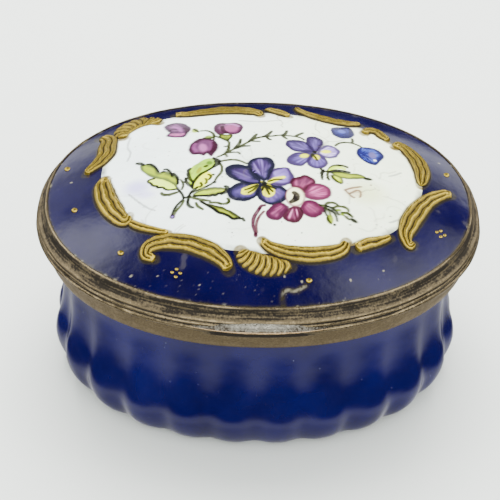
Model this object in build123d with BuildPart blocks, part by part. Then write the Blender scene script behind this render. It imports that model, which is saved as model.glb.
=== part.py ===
"""Oval enamelled-copper pill box with gilt mounts and a hinged domed lid.

Millimetres, +Z up. The origin is the middle of the flat underside of the base.
+X runs along the long way of the oval and the thumb lip faces -Y.
"""
from build123d import *
import math
import os

# ---------------------------------------------------------------- driving dimensions
BOX_LENGTH = 66.0          # over the bead of the lid mount, long way
BOX_WIDTH = 51.5           # the same, short way
OVAL_POWER = 2.12          # 2 is an ellipse, more is squarer
SEAM_HEIGHT = 26.0         # where lid and base meet, above the table
SEAM_GAP = 0.10

ENAMEL = 0.50              # outer coat, fired on the copper
COPPER = 0.40
LINING = 0.40              # white counter-enamel inside

FLUTES = 24
SAMPLES_PER_FLUTE = 6
PLAIN_SAMPLES = 48         # points round an oval with no flutes

# Base wall: share of its height, how far its flute crests lie inside the plan oval,
# and half the depth of its flutes there. The wall curves smoothly between them.
BASE_PROFILE = [
    (0.00, 4.45, 0.15),
    (0.04, 3.40, 0.25),
    (0.12, 2.40, 0.42),
    (0.24, 1.80, 0.50),
    (0.40, 2.60, 0.45),
    (0.57, 3.15, 0.34),
    (0.73, 3.75, 0.18),
    (0.87, 3.55, 0.00),
    (1.00, 3.05, 0.00),
]
RIM_DROP = 1.40            # rim of the enamelled wall below the seam

WALL_STEPS = 14            # rings of the wall between its foot and its rim
FOOT_CROWDING = 1.3        # above 1, the rings lie closer near the foot

BAND_HEIGHT = 3.70         # of the base mount, below the seam
BAND_TOP_INSET = 0.55
BAND_FOOT_INSET = 1.50
BAND_LIP = 0.60            # turned-in foot of the band
MOUNT_CEMENT = 0.05        # gap between a mount and the enamel that it holds

BEARER_INSET = 3.20
BEARER_WALL = 0.50
BEARER_STAND = 1.20        # how far the bearer stands up inside the lid
BEARER_CLEARANCE = 0.30

LID_EDGE_INSET = 1.75      # where the domed enamel meets its mount
LID_EDGE_RISE = 3.85       # height of that edge above the seam
DOME_RISE = 5.30
DOME_POWER = 2.4
LIP_OVERLAP = 0.45         # how far the burnished lip laps over the dome
LIP_THICKNESS = 0.20

# Lid mount, from the seam up: inset of its outer face and height above the seam.
LID_MOUNT_PROFILE = [
    (0.55, 0.05),
    (0.12, 0.45),
    (0.00, 0.90),
    (0.18, 1.30),
    (0.40, 1.45),
    (0.20, 1.75),
    (0.30, 2.20),
    (0.80, 2.55),
    (1.25, 2.85),
    (1.42, 3.30),
    (1.45, 3.80),
]

HINGE_RADIUS = 0.90
HINGE_OUT = 0.10           # hinge axis behind the plan oval
HINGE_PIN_RADIUS = 0.40
HINGE_PIN_CLEARANCE = 0.04
HINGE_RELIEF = 0.15        # round the barrel, in both mounts
KNUCKLES = 5
KNUCKLE_LENGTH = 3.00
KNUCKLE_GAP = 0.12
LEAF_THICKNESS = 0.75
LEAF_DEPTH = 2.30          # from the hinge axis into the mount
PIN_END = 0.15             # riveted end past the last knuckle

THUMB_LIP_LENGTH = 16.4
THUMB_LIP_REACH = 1.00
THUMB_LIP_LOW = 0.35       # above the seam
THUMB_LIP_THICKNESS = 0.75
THUMB_LIP_BEVEL = 0.30

SCROLL_RELIEF = 0.60       # raised gilding above the dome
DOT_RELIEF = 0.30
DOT_RADIUS = 0.50
CLUSTER_DOT_RADIUS = 0.30
CLUSTER_SPACING = 0.42     # from the middle of a cluster to each of its dots

# The decoration is drawn for a box of this length and width, and is stretched with the lid.
DRAWN_LENGTH = 66.0
DRAWN_WIDTH = 51.5

# Edge of the white panel, as (x, y) seen from above, under the middle of the scrolls.
PANEL_EDGE = [
    (24.0, 1.0), (23.0, 6.0), (20.0, 11.0), (16.3, 14.2), (10.5, 15.8), (4.0, 17.4),
    (-4.0, 17.6), (-12.0, 17.2), (-18.0, 14.8), (-22.3, 10.0), (-23.2, 4.0), (-23.0, -2.0),
    (-20.6, -7.6), (-16.0, -11.8), (-9.0, -14.6), (-2.0, -16.0), (5.0, -16.2), (12.0, -14.4),
    (18.0, -11.4), (21.4, -7.4), (23.4, -3.0),
]

# Scrolls: (x, y) along the middle of each, and its width there.
SCROLLS = {
    "scroll_left_lower": [
        (-23.3, 0.3, 1.5), (-22.9, -2.6, 2.3), (-21.8, -5.8, 2.6), (-19.4, -8.8, 1.8)],
    "scroll_left_foot": [(-18.0, -10.0, 1.0), (-16.2, -11.2, 1.3), (-13.6, -12.6, 1.0)],
    "scroll_left_upper": [
        (-24.4, 12.2, 1.6), (-23.0, 9.6, 2.6), (-23.0, 6.4, 2.6), (-24.6, 3.4, 1.9),
        (-25.7, 2.3, 1.1)],
    "scroll_upper_left": [
        (-20.9, 11.4, 1.7), (-20.2, 13.8, 2.7), (-18.3, 15.8, 2.9), (-16.1, 16.2, 1.8)],
    "scroll_top_left": [
        (-12.8, 17.6, 1.4), (-11.0, 17.0, 1.6), (-8.6, 17.6, 2.3), (-5.6, 18.5, 3.0),
        (-2.4, 18.2, 3.0), (0.0, 16.4, 1.6)],
    "scroll_top_middle": [(1.2, 18.6, 1.1), (3.0, 17.6, 1.6), (4.6, 16.2, 1.5)],
    "scroll_top_right": [
        (6.4, 18.9, 1.2), (8.2, 17.3, 1.7), (11.0, 15.7, 2.0), (13.8, 15.3, 1.8),
        (15.4, 15.6, 1.0)],
    "scroll_right_knot": [(16.3, 12.7, 1.4), (17.7, 13.3, 2.2), (19.4, 11.6, 1.6)],
    "scroll_right_upper": [
        (21.3, 10.4, 1.5), (23.3, 7.4, 2.4), (24.3, 3.6, 2.6), (23.9, 0.2, 1.4)],
    "scroll_right_lower": [
        (28.4, -0.3, 1.3), (26.4, -1.6, 1.9), (24.4, -3.8, 1.8), (22.4, -6.4, 2.7),
        (20.8, -9.6, 2.4), (21.3, -12.5, 1.2)],
    "scroll_front_right": [(18.4, -11.6, 0.9), (16.0, -13.0, 1.4), (13.6, -14.4, 1.3)],
    "scroll_front_long": [
        (12.0, -14.6, 1.3), (9.6, -15.9, 1.9), (5.8, -16.2, 2.2), (2.4, -15.4, 1.9),
        (0.3, -14.2, 1.5)],
    "scroll_front_shell": [(-2.9, -15.8, 1.6), (-0.6, -17.4, 2.3), (4.4, -18.3, 1.2)],
    "scroll_front_left": [
        (-15.6, -15.2, 2.0), (-12.6, -14.2, 2.2), (-8.6, -15.1, 2.6), (-5.4, -16.6, 2.0),
        (-4.0, -18.2, 1.4)],
}

# Single gilt dots and the middles of the clusters of four.
DOTS = [(-28.7, 5.3), (-26.8, -5.2), (-19.6, -14.7), (28.2, 5.0), (6.7, -20.0)]
DOT_CLUSTERS = [(-11.7, -18.8), (26.0, -9.0)]

# ---------------------------------------------------------------- derived sizes
WALL_TOP = SEAM_HEIGHT - RIM_DROP
WALL = ENAMEL + COPPER + LINING
BASE_TOP = SEAM_HEIGHT - SEAM_GAP / 2
LID_BOTTOM = SEAM_HEIGHT + SEAM_GAP / 2
LID_EDGE_HEIGHT = SEAM_HEIGHT + LID_EDGE_RISE
LID_MOUNT_INNER = BEARER_INSET - BEARER_CLEARANCE
LID_LEDGE = LID_EDGE_HEIGHT - WALL - MOUNT_CEMENT
LIP_RISE = DOME_RISE * DOME_POWER * LIP_OVERLAP / (BOX_WIDTH / 2 - LID_EDGE_INSET)
LIP_UNDERSIDE = LID_EDGE_HEIGHT + LIP_RISE + MOUNT_CEMENT
HINGE_AXIS_Y = BOX_WIDTH / 2 + HINGE_OUT
HINGE_PITCH = KNUCKLE_LENGTH + KNUCKLE_GAP
HINGE_LENGTH = KNUCKLES * HINGE_PITCH - KNUCKLE_GAP


# ---------------------------------------------------------------- the plan oval
def oval_point(angle, inset):
    """Point of the plan oval drawn in by inset."""
    reach_x = BOX_LENGTH / 2 - inset
    reach_y = BOX_WIDTH / 2 - inset
    run_x = math.cos(angle)
    run_y = math.sin(angle)
    x = math.copysign(reach_x * abs(run_x) ** (2 / OVAL_POWER), run_x)
    y = math.copysign(reach_y * abs(run_y) ** (2 / OVAL_POWER), run_y)
    return x, y


def outward(x, y, inset):
    """Unit normal of the oval that passes through (x, y)."""
    reach_x = BOX_LENGTH / 2 - inset
    reach_y = BOX_WIDTH / 2 - inset
    nx = math.copysign(abs(x / reach_x) ** (OVAL_POWER - 1) / reach_x, x)
    ny = math.copysign(abs(y / reach_y) ** (OVAL_POWER - 1) / reach_y, y)
    size = math.hypot(nx, ny)
    return nx / size, ny / size


def even_points(inset, count):
    """count points evenly spaced by length round the oval, the first at +X."""
    fine = 40 * count
    walk = [oval_point(2 * math.pi * i / fine, inset) for i in range(fine + 1)]
    run = [0.0]
    for before, after in zip(walk, walk[1:]):
        run.append(run[-1] + math.dist(before, after))
    points = []
    step = 0
    for k in range(count):
        target = run[-1] * k / count
        while run[step + 1] < target:
            step += 1
        share = (target - run[step]) / (run[step + 1] - run[step])
        x = walk[step][0] + share * (walk[step + 1][0] - walk[step][0])
        y = walk[step][1] + share * (walk[step + 1][1] - walk[step][1])
        points.append((x, y))
    return points


def fluted_points(crest_inset, half_depth):
    """Oval with broad lobes and narrow valleys, one valley at each end of each axis."""
    crest = 0.8
    inset = crest_inset + crest * half_depth
    points = []
    for k, (x, y) in enumerate(even_points(inset, FLUTES * SAMPLES_PER_FLUTE)):
        turn = 2 * math.pi * k / SAMPLES_PER_FLUTE + math.pi
        swell = half_depth * (math.cos(turn) - 0.2 * math.cos(2 * turn))
        nx, ny = outward(x, y, inset)
        points.append((x + swell * nx, y + swell * ny))
    return points


def oval_sketch(height, points):
    """Face at a height, bounded by one closed curve through the points."""
    with BuildSketch(Plane.XY.offset(height)) as section:
        with BuildLine():
            Spline(*points, periodic=True)
        make_face()
    return section.sketch


def plain_form(profile):
    """Solid whose outside follows (inset, height) pairs from the bottom up."""
    faces = [oval_sketch(height, even_points(inset, PLAIN_SAMPLES)) for inset, height in profile]
    with BuildPart() as form:
        loft(sections=faces, ruled=True)
    return form.part


def wall_station(height):
    """Crest inset and half flute depth of the base wall at any height."""
    level = height / WALL_TOP
    last = len(BASE_PROFILE) - 2
    k = 0
    while k < last and BASE_PROFILE[k + 1][0] < level:
        k += 1
    low, high = BASE_PROFILE[k], BASE_PROFILE[k + 1]
    before, after = BASE_PROFILE[max(k - 1, 0)], BASE_PROFILE[min(k + 2, last + 1)]
    rise = high[0] - low[0]
    share = (level - low[0]) / rise
    values = []
    for column in (1, 2):
        slope_low = (high[column] - before[column]) / (high[0] - before[0]) * rise
        slope_high = (after[column] - low[column]) / (after[0] - low[0]) * rise
        values.append(
            (2 * share ** 3 - 3 * share ** 2 + 1) * low[column]
            + (share ** 3 - 2 * share ** 2 + share) * slope_low
            + (3 * share ** 2 - 2 * share ** 3) * high[column]
            + (share ** 3 - share ** 2) * slope_high)
    return values[0], max(values[1], 0)


def base_form(depth_in):
    """The fluted base as one solid, its skin depth_in inside the outer surface."""
    squeeze = 1 - depth_in / WALL_TOP
    faces = []
    for step in range(WALL_STEPS + 1):
        height = WALL_TOP * (step / WALL_STEPS) ** FOOT_CROWDING
        crest_inset, half_depth = wall_station(height)
        points = fluted_points(crest_inset + depth_in, half_depth)
        faces.append(oval_sketch(depth_in + height * squeeze, points))
    with BuildPart() as form:
        loft(sections=faces, ruled=True)
    return form.part


# ---------------------------------------------------------------- the lid's dome
def dome_height(x, y):
    """Height of the outer surface of the lid above the table."""
    across = abs(x) / (BOX_LENGTH / 2 - LID_EDGE_INSET)
    along = abs(y) / (BOX_WIDTH / 2 - LID_EDGE_INSET)
    share = (across ** OVAL_POWER + along ** OVAL_POWER) ** (1 / OVAL_POWER)
    return LID_EDGE_HEIGHT + DOME_RISE * (1 - share ** DOME_POWER)


def dome_surface():
    """Outer surface of the lid, over a rectangle a little larger than the box."""
    half = 12
    rows = []
    for i in range(-half, half + 1):
        x = (BOX_LENGTH / 2) * i / half
        row = []
        for j in range(-half, half + 1):
            y = (BOX_WIDTH / 2) * j / half
            row.append((x, y, dome_height(x, y)))
        rows.append(row)
    return Face.make_surface_from_array_of_points(rows, tol=0.005)


def on_lid(x, y):
    """A drawn point, stretched to the size of this lid."""
    return x * BOX_LENGTH / DRAWN_LENGTH, y * BOX_WIDTH / DRAWN_WIDTH


DOME = dome_surface()
LID_PLAN = oval_sketch(0, even_points(LID_EDGE_INSET + MOUNT_CEMENT, PLAIN_SAMPLES))
PANEL_PLAN = oval_sketch(0, [on_lid(x, y) for x, y in PANEL_EDGE])
TALL = 2 * LID_EDGE_HEIGHT


def dome_layer(top, bottom):
    """Sheet between two depths under the dome surface, up to the lid's edge."""
    with BuildPart() as layer:
        extrude(to_extrude=DOME.moved(Location((0, 0, -top))), amount=bottom - top, dir=(0, 0, -1))
        extrude(to_extrude=LID_PLAN, amount=TALL, mode=Mode.INTERSECT)
    return layer.part


def raised_layer(plan, relief):
    """What stands on the dome inside a plan outline, relief high."""
    with BuildPart() as layer:
        extrude(to_extrude=DOME, amount=relief, dir=(0, 0, 1))
        extrude(to_extrude=plan, amount=TALL, mode=Mode.INTERSECT)
    return layer.part


os.makedirs("parts", exist_ok=True)


def save(piece, name):
    """Label a finished piece and write it to its own file."""
    piece.part.label = name
    export_step(piece.part, f"parts/{name}.step")


# ---------------------------------------------------------------- base: enamelled copper
base_outside = base_form(0)
base_copper_outside = base_form(ENAMEL)
base_copper_inside = base_form(ENAMEL + COPPER)
base_inside = base_form(WALL)

# The blue coat: the fluted outside and the underside that the box stands on.
with BuildPart() as base_blue_enamel:
    add(base_outside)
    add(base_copper_outside, mode=Mode.SUBTRACT)
save(base_blue_enamel, "base_blue_enamel")

# The raised copper shell, enamelled on both sides and never seen.
with BuildPart() as base_copper_core:
    add(base_copper_outside)
    add(base_copper_inside, mode=Mode.SUBTRACT)
save(base_copper_core, "base_copper_core")

# White counter-enamel round the cavity.
with BuildPart() as base_white_lining:
    add(base_copper_inside)
    add(base_inside, mode=Mode.SUBTRACT)
save(base_white_lining, "base_white_lining")


# ---------------------------------------------------------------- hinge shapes
def knuckle_x(number):
    """Left end of a knuckle, counted from 0 at -X."""
    return -HINGE_LENGTH / 2 + number * HINGE_PITCH


def barrel(start, length, radius):
    """Round bar on the hinge axis."""
    plane = Plane(origin=(start, HINGE_AXIS_Y, SEAM_HEIGHT), x_dir=(0, 1, 0), z_dir=(1, 0, 0))
    with BuildPart() as bar:
        with BuildSketch(plane):
            Circle(radius)
        extrude(amount=length)
    return bar.part


def leaf(start, side):
    """Flat tongue from the barrel into a mount: side is 1 in the lid and -1 in the base."""
    inner_end = (HINGE_RADIUS + HINGE_PIN_RADIUS) / 2
    with BuildPart() as tongue:
        with BuildSketch(Plane.XY.offset(SEAM_HEIGHT + side * SEAM_GAP / 2)):
            with Locations((start + KNUCKLE_LENGTH / 2, HINGE_AXIS_Y - inner_end)):
                Rectangle(KNUCKLE_LENGTH, LEAF_DEPTH - inner_end, align=(Align.CENTER, Align.MAX))
        extrude(amount=side * LEAF_THICKNESS)
    return tongue.part


BASE_KNUCKLES = [knuckle_x(number) for number in range(0, KNUCKLES, 2)]
LID_KNUCKLES = [knuckle_x(number) for number in range(1, KNUCKLES, 2)]
HINGE_BORE = barrel(knuckle_x(0), HINGE_LENGTH, HINGE_PIN_RADIUS + HINGE_PIN_CLEARANCE)
HINGE_SPACE = barrel(
    knuckle_x(0) - HINGE_RELIEF, HINGE_LENGTH + 2 * HINGE_RELIEF, HINGE_RADIUS + HINGE_RELIEF)

# ---------------------------------------------------------------- base: gilt mount
band_foot = SEAM_HEIGHT - BAND_HEIGHT
band_outside = plain_form([
    (BAND_FOOT_INSET + BAND_LIP / 2, band_foot),
    (BAND_FOOT_INSET, band_foot + BAND_LIP / 2),
    (BAND_TOP_INSET + BAND_LIP / 4, BASE_TOP - BAND_LIP),
    (BAND_TOP_INSET, BASE_TOP),
])
bearer_outside = plain_form([(BEARER_INSET, WALL_TOP + MOUNT_CEMENT),
                             (BEARER_INSET, SEAM_HEIGHT + BEARER_STAND)])
bearer_inside = plain_form([(BEARER_INSET + BEARER_WALL, WALL_TOP + MOUNT_CEMENT),
                            (BEARER_INSET + BEARER_WALL, SEAM_HEIGHT + BEARER_STAND)])


# Flat band round the mouth of the base; its back edge laps the enamel wall and its
# top flange covers the wall's rim.
band_bore = plain_form([
    (wall_station(band_foot)[0] - 2 * MOUNT_CEMENT, band_foot),
    (wall_station((band_foot + WALL_TOP) / 2)[0] - 2 * MOUNT_CEMENT, (band_foot + WALL_TOP) / 2),
    (wall_station(WALL_TOP)[0] - 2 * MOUNT_CEMENT, WALL_TOP + MOUNT_CEMENT),
])
with BuildPart() as base_mount_band:
    add(band_outside)
    add(band_bore, mode=Mode.SUBTRACT)
    add(bearer_outside, mode=Mode.SUBTRACT)
    add(HINGE_SPACE, mode=Mode.SUBTRACT)
    for start in BASE_KNUCKLES:
        add(leaf(start, -1), mode=Mode.SUBTRACT)
save(base_mount_band, "base_mount_band")

# Thin upright strip soldered inside the band, which centres the closed lid.
with BuildPart() as base_bearer_ring:
    add(bearer_outside)
    add(bearer_inside, mode=Mode.SUBTRACT)
save(base_bearer_ring, "base_bearer_ring")

# ---------------------------------------------------------------- lid: enamelled copper
with BuildPart() as lid_blue_ground:
    add(dome_layer(0, ENAMEL))
    extrude(to_extrude=PANEL_PLAN, amount=TALL, mode=Mode.SUBTRACT)
save(lid_blue_ground, "lid_blue_ground")

with BuildPart() as lid_white_panel:
    add(dome_layer(0, ENAMEL))
    extrude(to_extrude=PANEL_PLAN, amount=TALL, mode=Mode.INTERSECT)
save(lid_white_panel, "lid_white_panel")

with BuildPart() as lid_copper_core:
    add(dome_layer(ENAMEL, ENAMEL + COPPER))
save(lid_copper_core, "lid_copper_core")

with BuildPart() as lid_white_lining:
    add(dome_layer(ENAMEL + COPPER, WALL))
save(lid_white_lining, "lid_white_lining")

# ---------------------------------------------------------------- lid: gilt mount
lid_mount_outside = plain_form(
    [(inset, SEAM_HEIGHT + rise) for inset, rise in LID_MOUNT_PROFILE]
    + [(LID_EDGE_INSET, LIP_UNDERSIDE + LIP_THICKNESS / 2),
       (LID_EDGE_INSET + LIP_OVERLAP, LIP_UNDERSIDE + LIP_THICKNESS)])
lid_mount_bore = plain_form([(LID_MOUNT_INNER, LID_BOTTOM), (LID_MOUNT_INNER, LID_LEDGE)])
lid_mount_seat = plain_form([
    (LID_EDGE_INSET, LID_LEDGE),
    (LID_EDGE_INSET, LID_EDGE_HEIGHT + MOUNT_CEMENT),
    (LID_EDGE_INSET + LIP_OVERLAP, LIP_UNDERSIDE),
    (LID_EDGE_INSET + LIP_OVERLAP, LIP_UNDERSIDE + LIP_THICKNESS),
])

# Moulded ring round the lid: bead at the seam, torus, hollow, and a lip over the dome.
with BuildPart() as lid_mount_ring:
    add(lid_mount_outside)
    add(lid_mount_bore, mode=Mode.SUBTRACT)
    add(lid_mount_seat, mode=Mode.SUBTRACT)
    add(HINGE_SPACE, mode=Mode.SUBTRACT)
    for start in LID_KNUCKLES:
        add(leaf(start, 1), mode=Mode.SUBTRACT)
save(lid_mount_ring, "lid_mount_ring")

# Crescent soldered to the front of the lid mount, to lift the lid by.
lip_end_y = -BOX_WIDTH / 2 + 0.8
lip_plane = Plane.XY.offset(SEAM_HEIGHT + THUMB_LIP_LOW)
with BuildPart() as thumb_lip:
    with BuildSketch(lip_plane):
        with BuildLine():
            edge = ThreePointArc(
                (-THUMB_LIP_LENGTH / 2, lip_end_y),
                (0, -BOX_WIDTH / 2 - THUMB_LIP_REACH),
                (THUMB_LIP_LENGTH / 2, lip_end_y))
            Line(edge @ 1, edge @ 0)
        make_face()
    extrude(amount=THUMB_LIP_THICKNESS)
    chamfer(thumb_lip.edges().filter_by(GeomType.CIRCLE).group_by(Axis.Z)[-1], THUMB_LIP_BEVEL)
    add(lid_mount_outside, mode=Mode.SUBTRACT)
save(thumb_lip, "thumb_lip")


# ---------------------------------------------------------------- hinge
def knuckle_group(starts, side):
    """Knuckles of one half of the hinge, each with its leaf."""
    with BuildPart() as knuckles:
        for start in starts:
            add(barrel(start, KNUCKLE_LENGTH, HINGE_RADIUS))
            add(leaf(start, side))
        add(HINGE_BORE, mode=Mode.SUBTRACT)
    return knuckles


base_hinge_knuckles = knuckle_group(BASE_KNUCKLES, -1)
save(base_hinge_knuckles, "base_hinge_knuckles")

lid_hinge_knuckles = knuckle_group(LID_KNUCKLES, 1)
save(lid_hinge_knuckles, "lid_hinge_knuckles")

with BuildPart() as hinge_pin:
    add(barrel(knuckle_x(0) - PIN_END, HINGE_LENGTH + 2 * PIN_END, HINGE_PIN_RADIUS))
save(hinge_pin, "hinge_pin")


# ---------------------------------------------------------------- raised gilding
def scroll_plan(stations):
    """Closed outline round a curved middle line, given as (x, y, width)."""
    count = len(stations)
    left = []
    right = []
    for i, (x, y, width) in enumerate(stations):
        x0, y0, _ = stations[max(i - 1, 0)]
        x1, y1, _ = stations[min(i + 1, count - 1)]
        run = math.hypot(x1 - x0, y1 - y0)
        side_x = -(y1 - y0) / run * width / 2
        side_y = (x1 - x0) / run * width / 2
        left.append(on_lid(x + side_x, y + side_y))
        right.append(on_lid(x - side_x, y - side_y))
    return oval_sketch(0, left + right[::-1])


for scroll_name, stations in SCROLLS.items():
    scroll = BuildPart()
    with scroll:
        add(raised_layer(scroll_plan(stations), SCROLL_RELIEF))
    save(scroll, scroll_name)

# Small raised dots of gilding on the blue, single and in fours.
with BuildSketch() as dot_plan:
    with Locations(*[on_lid(x, y) for x, y in DOTS]):
        Circle(DOT_RADIUS)
    for x, y in DOT_CLUSTERS:
        with Locations(on_lid(x, y)):
            with PolarLocations(2 * CLUSTER_SPACING, 4, start_angle=45):
                Circle(CLUSTER_DOT_RADIUS)
with BuildPart() as gilt_dots:
    add(raised_layer(dot_plan.sketch, DOT_RELIEF))
save(gilt_dots, "gilt_dots")
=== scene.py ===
"""An oval enamelled-copper pill box: fluted blue base, gilt mounts, domed lid with raised
gilt scrolls round a white panel painted with flowers. Every size is in millimetres and is
turned into metres when a mesh is made. +Z is up, the thumb lip faces -Y."""
import math

import bpy
import numpy as np
from mathutils import Matrix, Vector


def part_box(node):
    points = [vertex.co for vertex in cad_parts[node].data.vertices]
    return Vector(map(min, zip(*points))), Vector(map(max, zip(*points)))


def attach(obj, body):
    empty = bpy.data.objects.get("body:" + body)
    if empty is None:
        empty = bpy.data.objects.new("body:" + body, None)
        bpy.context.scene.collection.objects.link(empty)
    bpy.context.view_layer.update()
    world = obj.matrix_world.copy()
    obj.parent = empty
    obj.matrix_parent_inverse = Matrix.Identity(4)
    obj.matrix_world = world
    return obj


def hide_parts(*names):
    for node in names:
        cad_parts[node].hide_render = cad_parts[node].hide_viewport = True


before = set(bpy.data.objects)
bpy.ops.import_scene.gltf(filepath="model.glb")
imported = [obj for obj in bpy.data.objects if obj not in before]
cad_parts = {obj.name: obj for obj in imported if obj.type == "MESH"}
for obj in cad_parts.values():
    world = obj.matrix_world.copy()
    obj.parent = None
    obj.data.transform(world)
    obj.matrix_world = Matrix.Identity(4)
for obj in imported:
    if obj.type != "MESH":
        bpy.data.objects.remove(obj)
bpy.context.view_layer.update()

# ---------------------------------------------------------------------------------------
# The table: a plain pale floor under the box, lit by an even white sky and one large soft
# lamp overhead. Shiny pieces mirror a separate room with brighter and darker parts.
# ---------------------------------------------------------------------------------------
MM = 0.001


def add_piece(name, points, faces, material, sharp=180):
    """A mesh piece from points in millimetres, smooth but for edges sharper than an angle."""
    mesh = bpy.data.meshes.new(name)
    mesh.from_pydata((np.asarray(points, float) * MM).tolist(), [], faces)
    mesh.polygons.foreach_set("use_smooth", [True] * len(mesh.polygons))
    if sharp < 180:
        mesh.set_sharp_from_angle(angle=math.radians(sharp))
    mesh.materials.append(material)
    mesh.update()
    piece = bpy.data.objects.new(name, mesh)
    bpy.context.scene.collection.objects.link(piece)
    return piece


def srgb(red, green, blue):
    """A colour given as seen, 0 to 255, in the linear values that the shaders use."""
    seen = np.array([red, green, blue], float) / 255
    linear = np.where(seen <= 0.04045, seen / 12.92, ((seen + 0.055) / 1.055) ** 2.4)
    return (*linear.tolist(), 1.0)


def new_finish(name):
    """An empty node material with its surface shader and output joined."""
    material = bpy.data.materials.new(name)
    material.use_nodes = True
    tree = material.node_tree
    shader = tree.nodes["Principled BSDF"]
    return material, tree, shader


def add_node(tree, kind, **inputs):
    """A shader node with sockets set to values or linked from other nodes' sockets, by
    name with underscores for spaces."""
    node = tree.nodes.new(kind)
    for key, value in inputs.items():
        socket = node.inputs[key.replace("_", " ")]
        if isinstance(value, bpy.types.NodeSocket):
            tree.links.new(value, socket)
        else:
            socket.default_value = value
    return node


floor_finish, tree, shader = new_finish("pale_table")
shader.inputs["Base Color"].default_value = srgb(226, 231, 224)
shader.inputs["Roughness"].default_value = 0.65
shader.inputs["Specular IOR Level"].default_value = 0.2
FLOOR_REACH = 3000
floor = add_piece(
    "floor",
    [(-FLOOR_REACH, -FLOOR_REACH, 0), (FLOOR_REACH, -FLOOR_REACH, 0),
     (FLOOR_REACH, FLOOR_REACH, 0), (-FLOOR_REACH, FLOOR_REACH, 0)],
    [(0, 1, 2, 3)], floor_finish)
floor.visible_glossy = False

SKY_BRIGHTNESS = 2.6
# What shiny surfaces see round them: a bright room with darker parts in it. Each part is
# a direction (degrees to the right of the front, degrees up), the angles from it where
# the part is full and where it has faded out, and its brightness.
ROOM_BRIGHTNESS = 2.3
ROOM_PARTS = [
    (180, 46, 26, 44, 0.25),
    (-128, 48, 5, 15, 3.6),
    (-147, 26, 4, 10, 0.8),
    (141, 29, 5, 11, 0.05),
    (-85, 82, 17, 27, 0.0),
    (0, 80, 9, 19, 0.0),
    (0, -90, 88, 97, 0.03),
    (0, -90, 48, 60, 0.84),
    (0, -90, 25, 40, 0.50)]
sky = bpy.data.worlds.new("even_sky")
sky.use_nodes = True
tree = sky.node_tree
look = tree.nodes.new("ShaderNodeTexCoord")
level = tree.nodes.new("ShaderNodeValue")
level.outputs[0].default_value = ROOM_BRIGHTNESS
so_far = level.outputs[0]
for across, rise, full, faded, brightness in ROOM_PARTS:
    across, rise = math.radians(across), math.radians(rise)
    facing = tree.nodes.new("ShaderNodeVectorMath")
    facing.operation = "DOT_PRODUCT"
    facing.inputs[1].default_value = (
        math.sin(across) * math.cos(rise), -math.cos(across) * math.cos(rise), math.sin(rise))
    tree.links.new(look.outputs["Generated"], facing.inputs[0])
    fade = tree.nodes.new("ShaderNodeMapRange")
    fade.interpolation_type = "SMOOTHSTEP"
    fade.inputs["From Min"].default_value = math.cos(math.radians(faded))
    fade.inputs["From Max"].default_value = math.cos(math.radians(full))
    tree.links.new(facing.outputs["Value"], fade.inputs["Value"])
    part = tree.nodes.new("ShaderNodeMix")
    part.inputs[3].default_value = brightness
    tree.links.new(fade.outputs["Result"], part.inputs[0])
    tree.links.new(so_far, part.inputs[2])
    so_far = part.outputs[0]
ray = tree.nodes.new("ShaderNodeLightPath")
chosen = tree.nodes.new("ShaderNodeMix")
chosen.inputs[2].default_value = SKY_BRIGHTNESS
tree.links.new(ray.outputs["Is Glossy Ray"], chosen.inputs[0])
tree.links.new(so_far, chosen.inputs[3])
background = tree.nodes["Background"]
background.inputs["Color"].default_value = (0.97, 0.985, 1.0, 1)
tree.links.new(chosen.outputs[0], background.inputs["Strength"])
bpy.context.scene.world = sky


def add_lamp(name, place, aim, size, power):
    """A square soft lamp, placed and aimed in millimetres, that isn't itself reflected."""
    data = bpy.data.lights.new(name, "AREA")
    data.size = size * MM
    data.energy = power
    lamp = bpy.data.objects.new(name, data)
    lamp.location = Vector(place) * MM
    lamp.rotation_euler = (Vector(aim) - Vector(place)).to_track_quat("-Z", "Y").to_euler()
    lamp.visible_glossy = False
    bpy.context.scene.collection.objects.link(lamp)
    return lamp


add_lamp("soft_window", (0, 130, 330), (0, 10, 0), 260, 3.1)

# The camera looks down at about 41 degrees from the front, a little from the left.
CAMERA_AIM = Vector((-1.1, 0.0, 19.7))
CAMERA_DISTANCE = 247.5
CAMERA_AZIMUTH = math.radians(-1.43)
CAMERA_ELEVATION = math.radians(40.72)
CAMERA_ROLL = math.radians(1.76)
backward = Vector((
    math.sin(CAMERA_AZIMUTH) * math.cos(CAMERA_ELEVATION),
    -math.cos(CAMERA_AZIMUTH) * math.cos(CAMERA_ELEVATION),
    math.sin(CAMERA_ELEVATION)))
level_right = Vector((0, 0, 1)).cross(backward).normalized()
level_up = backward.cross(level_right)
right = level_right * math.cos(CAMERA_ROLL) + level_up * math.sin(CAMERA_ROLL)
up = backward.cross(right)
camera_data = bpy.data.cameras.new("camera")
camera_data.lens = 117.1
camera = bpy.data.objects.new("camera", camera_data)
camera.matrix_world = Matrix.Translation((CAMERA_AIM + backward * CAMERA_DISTANCE) * MM) @ (
    Matrix((right, up, backward)).transposed().to_4x4())
bpy.context.scene.collection.objects.link(camera)
bpy.context.scene.camera = camera

# ---------------------------------------------------------------------------------------
# Base, blue coat: copper raised over a fluted former and dipped in cobalt enamel, which
# pools in the valleys between its 24 lobes and under the foot.
# ---------------------------------------------------------------------------------------
mount_low, mount_high = (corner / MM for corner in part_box("lid_mount_ring"))
HALF_LENGTH = (mount_high.x - mount_low.x) / 2
HALF_WIDTH = 51.5 / 2
OVAL_POWER = 2.12
RIM_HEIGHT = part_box("base_blue_enamel")[1].z / MM
FLUTES = 24
FLUTE_STEPS = 16
WALL_STEPS = 64
COAT = 0.5

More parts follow.
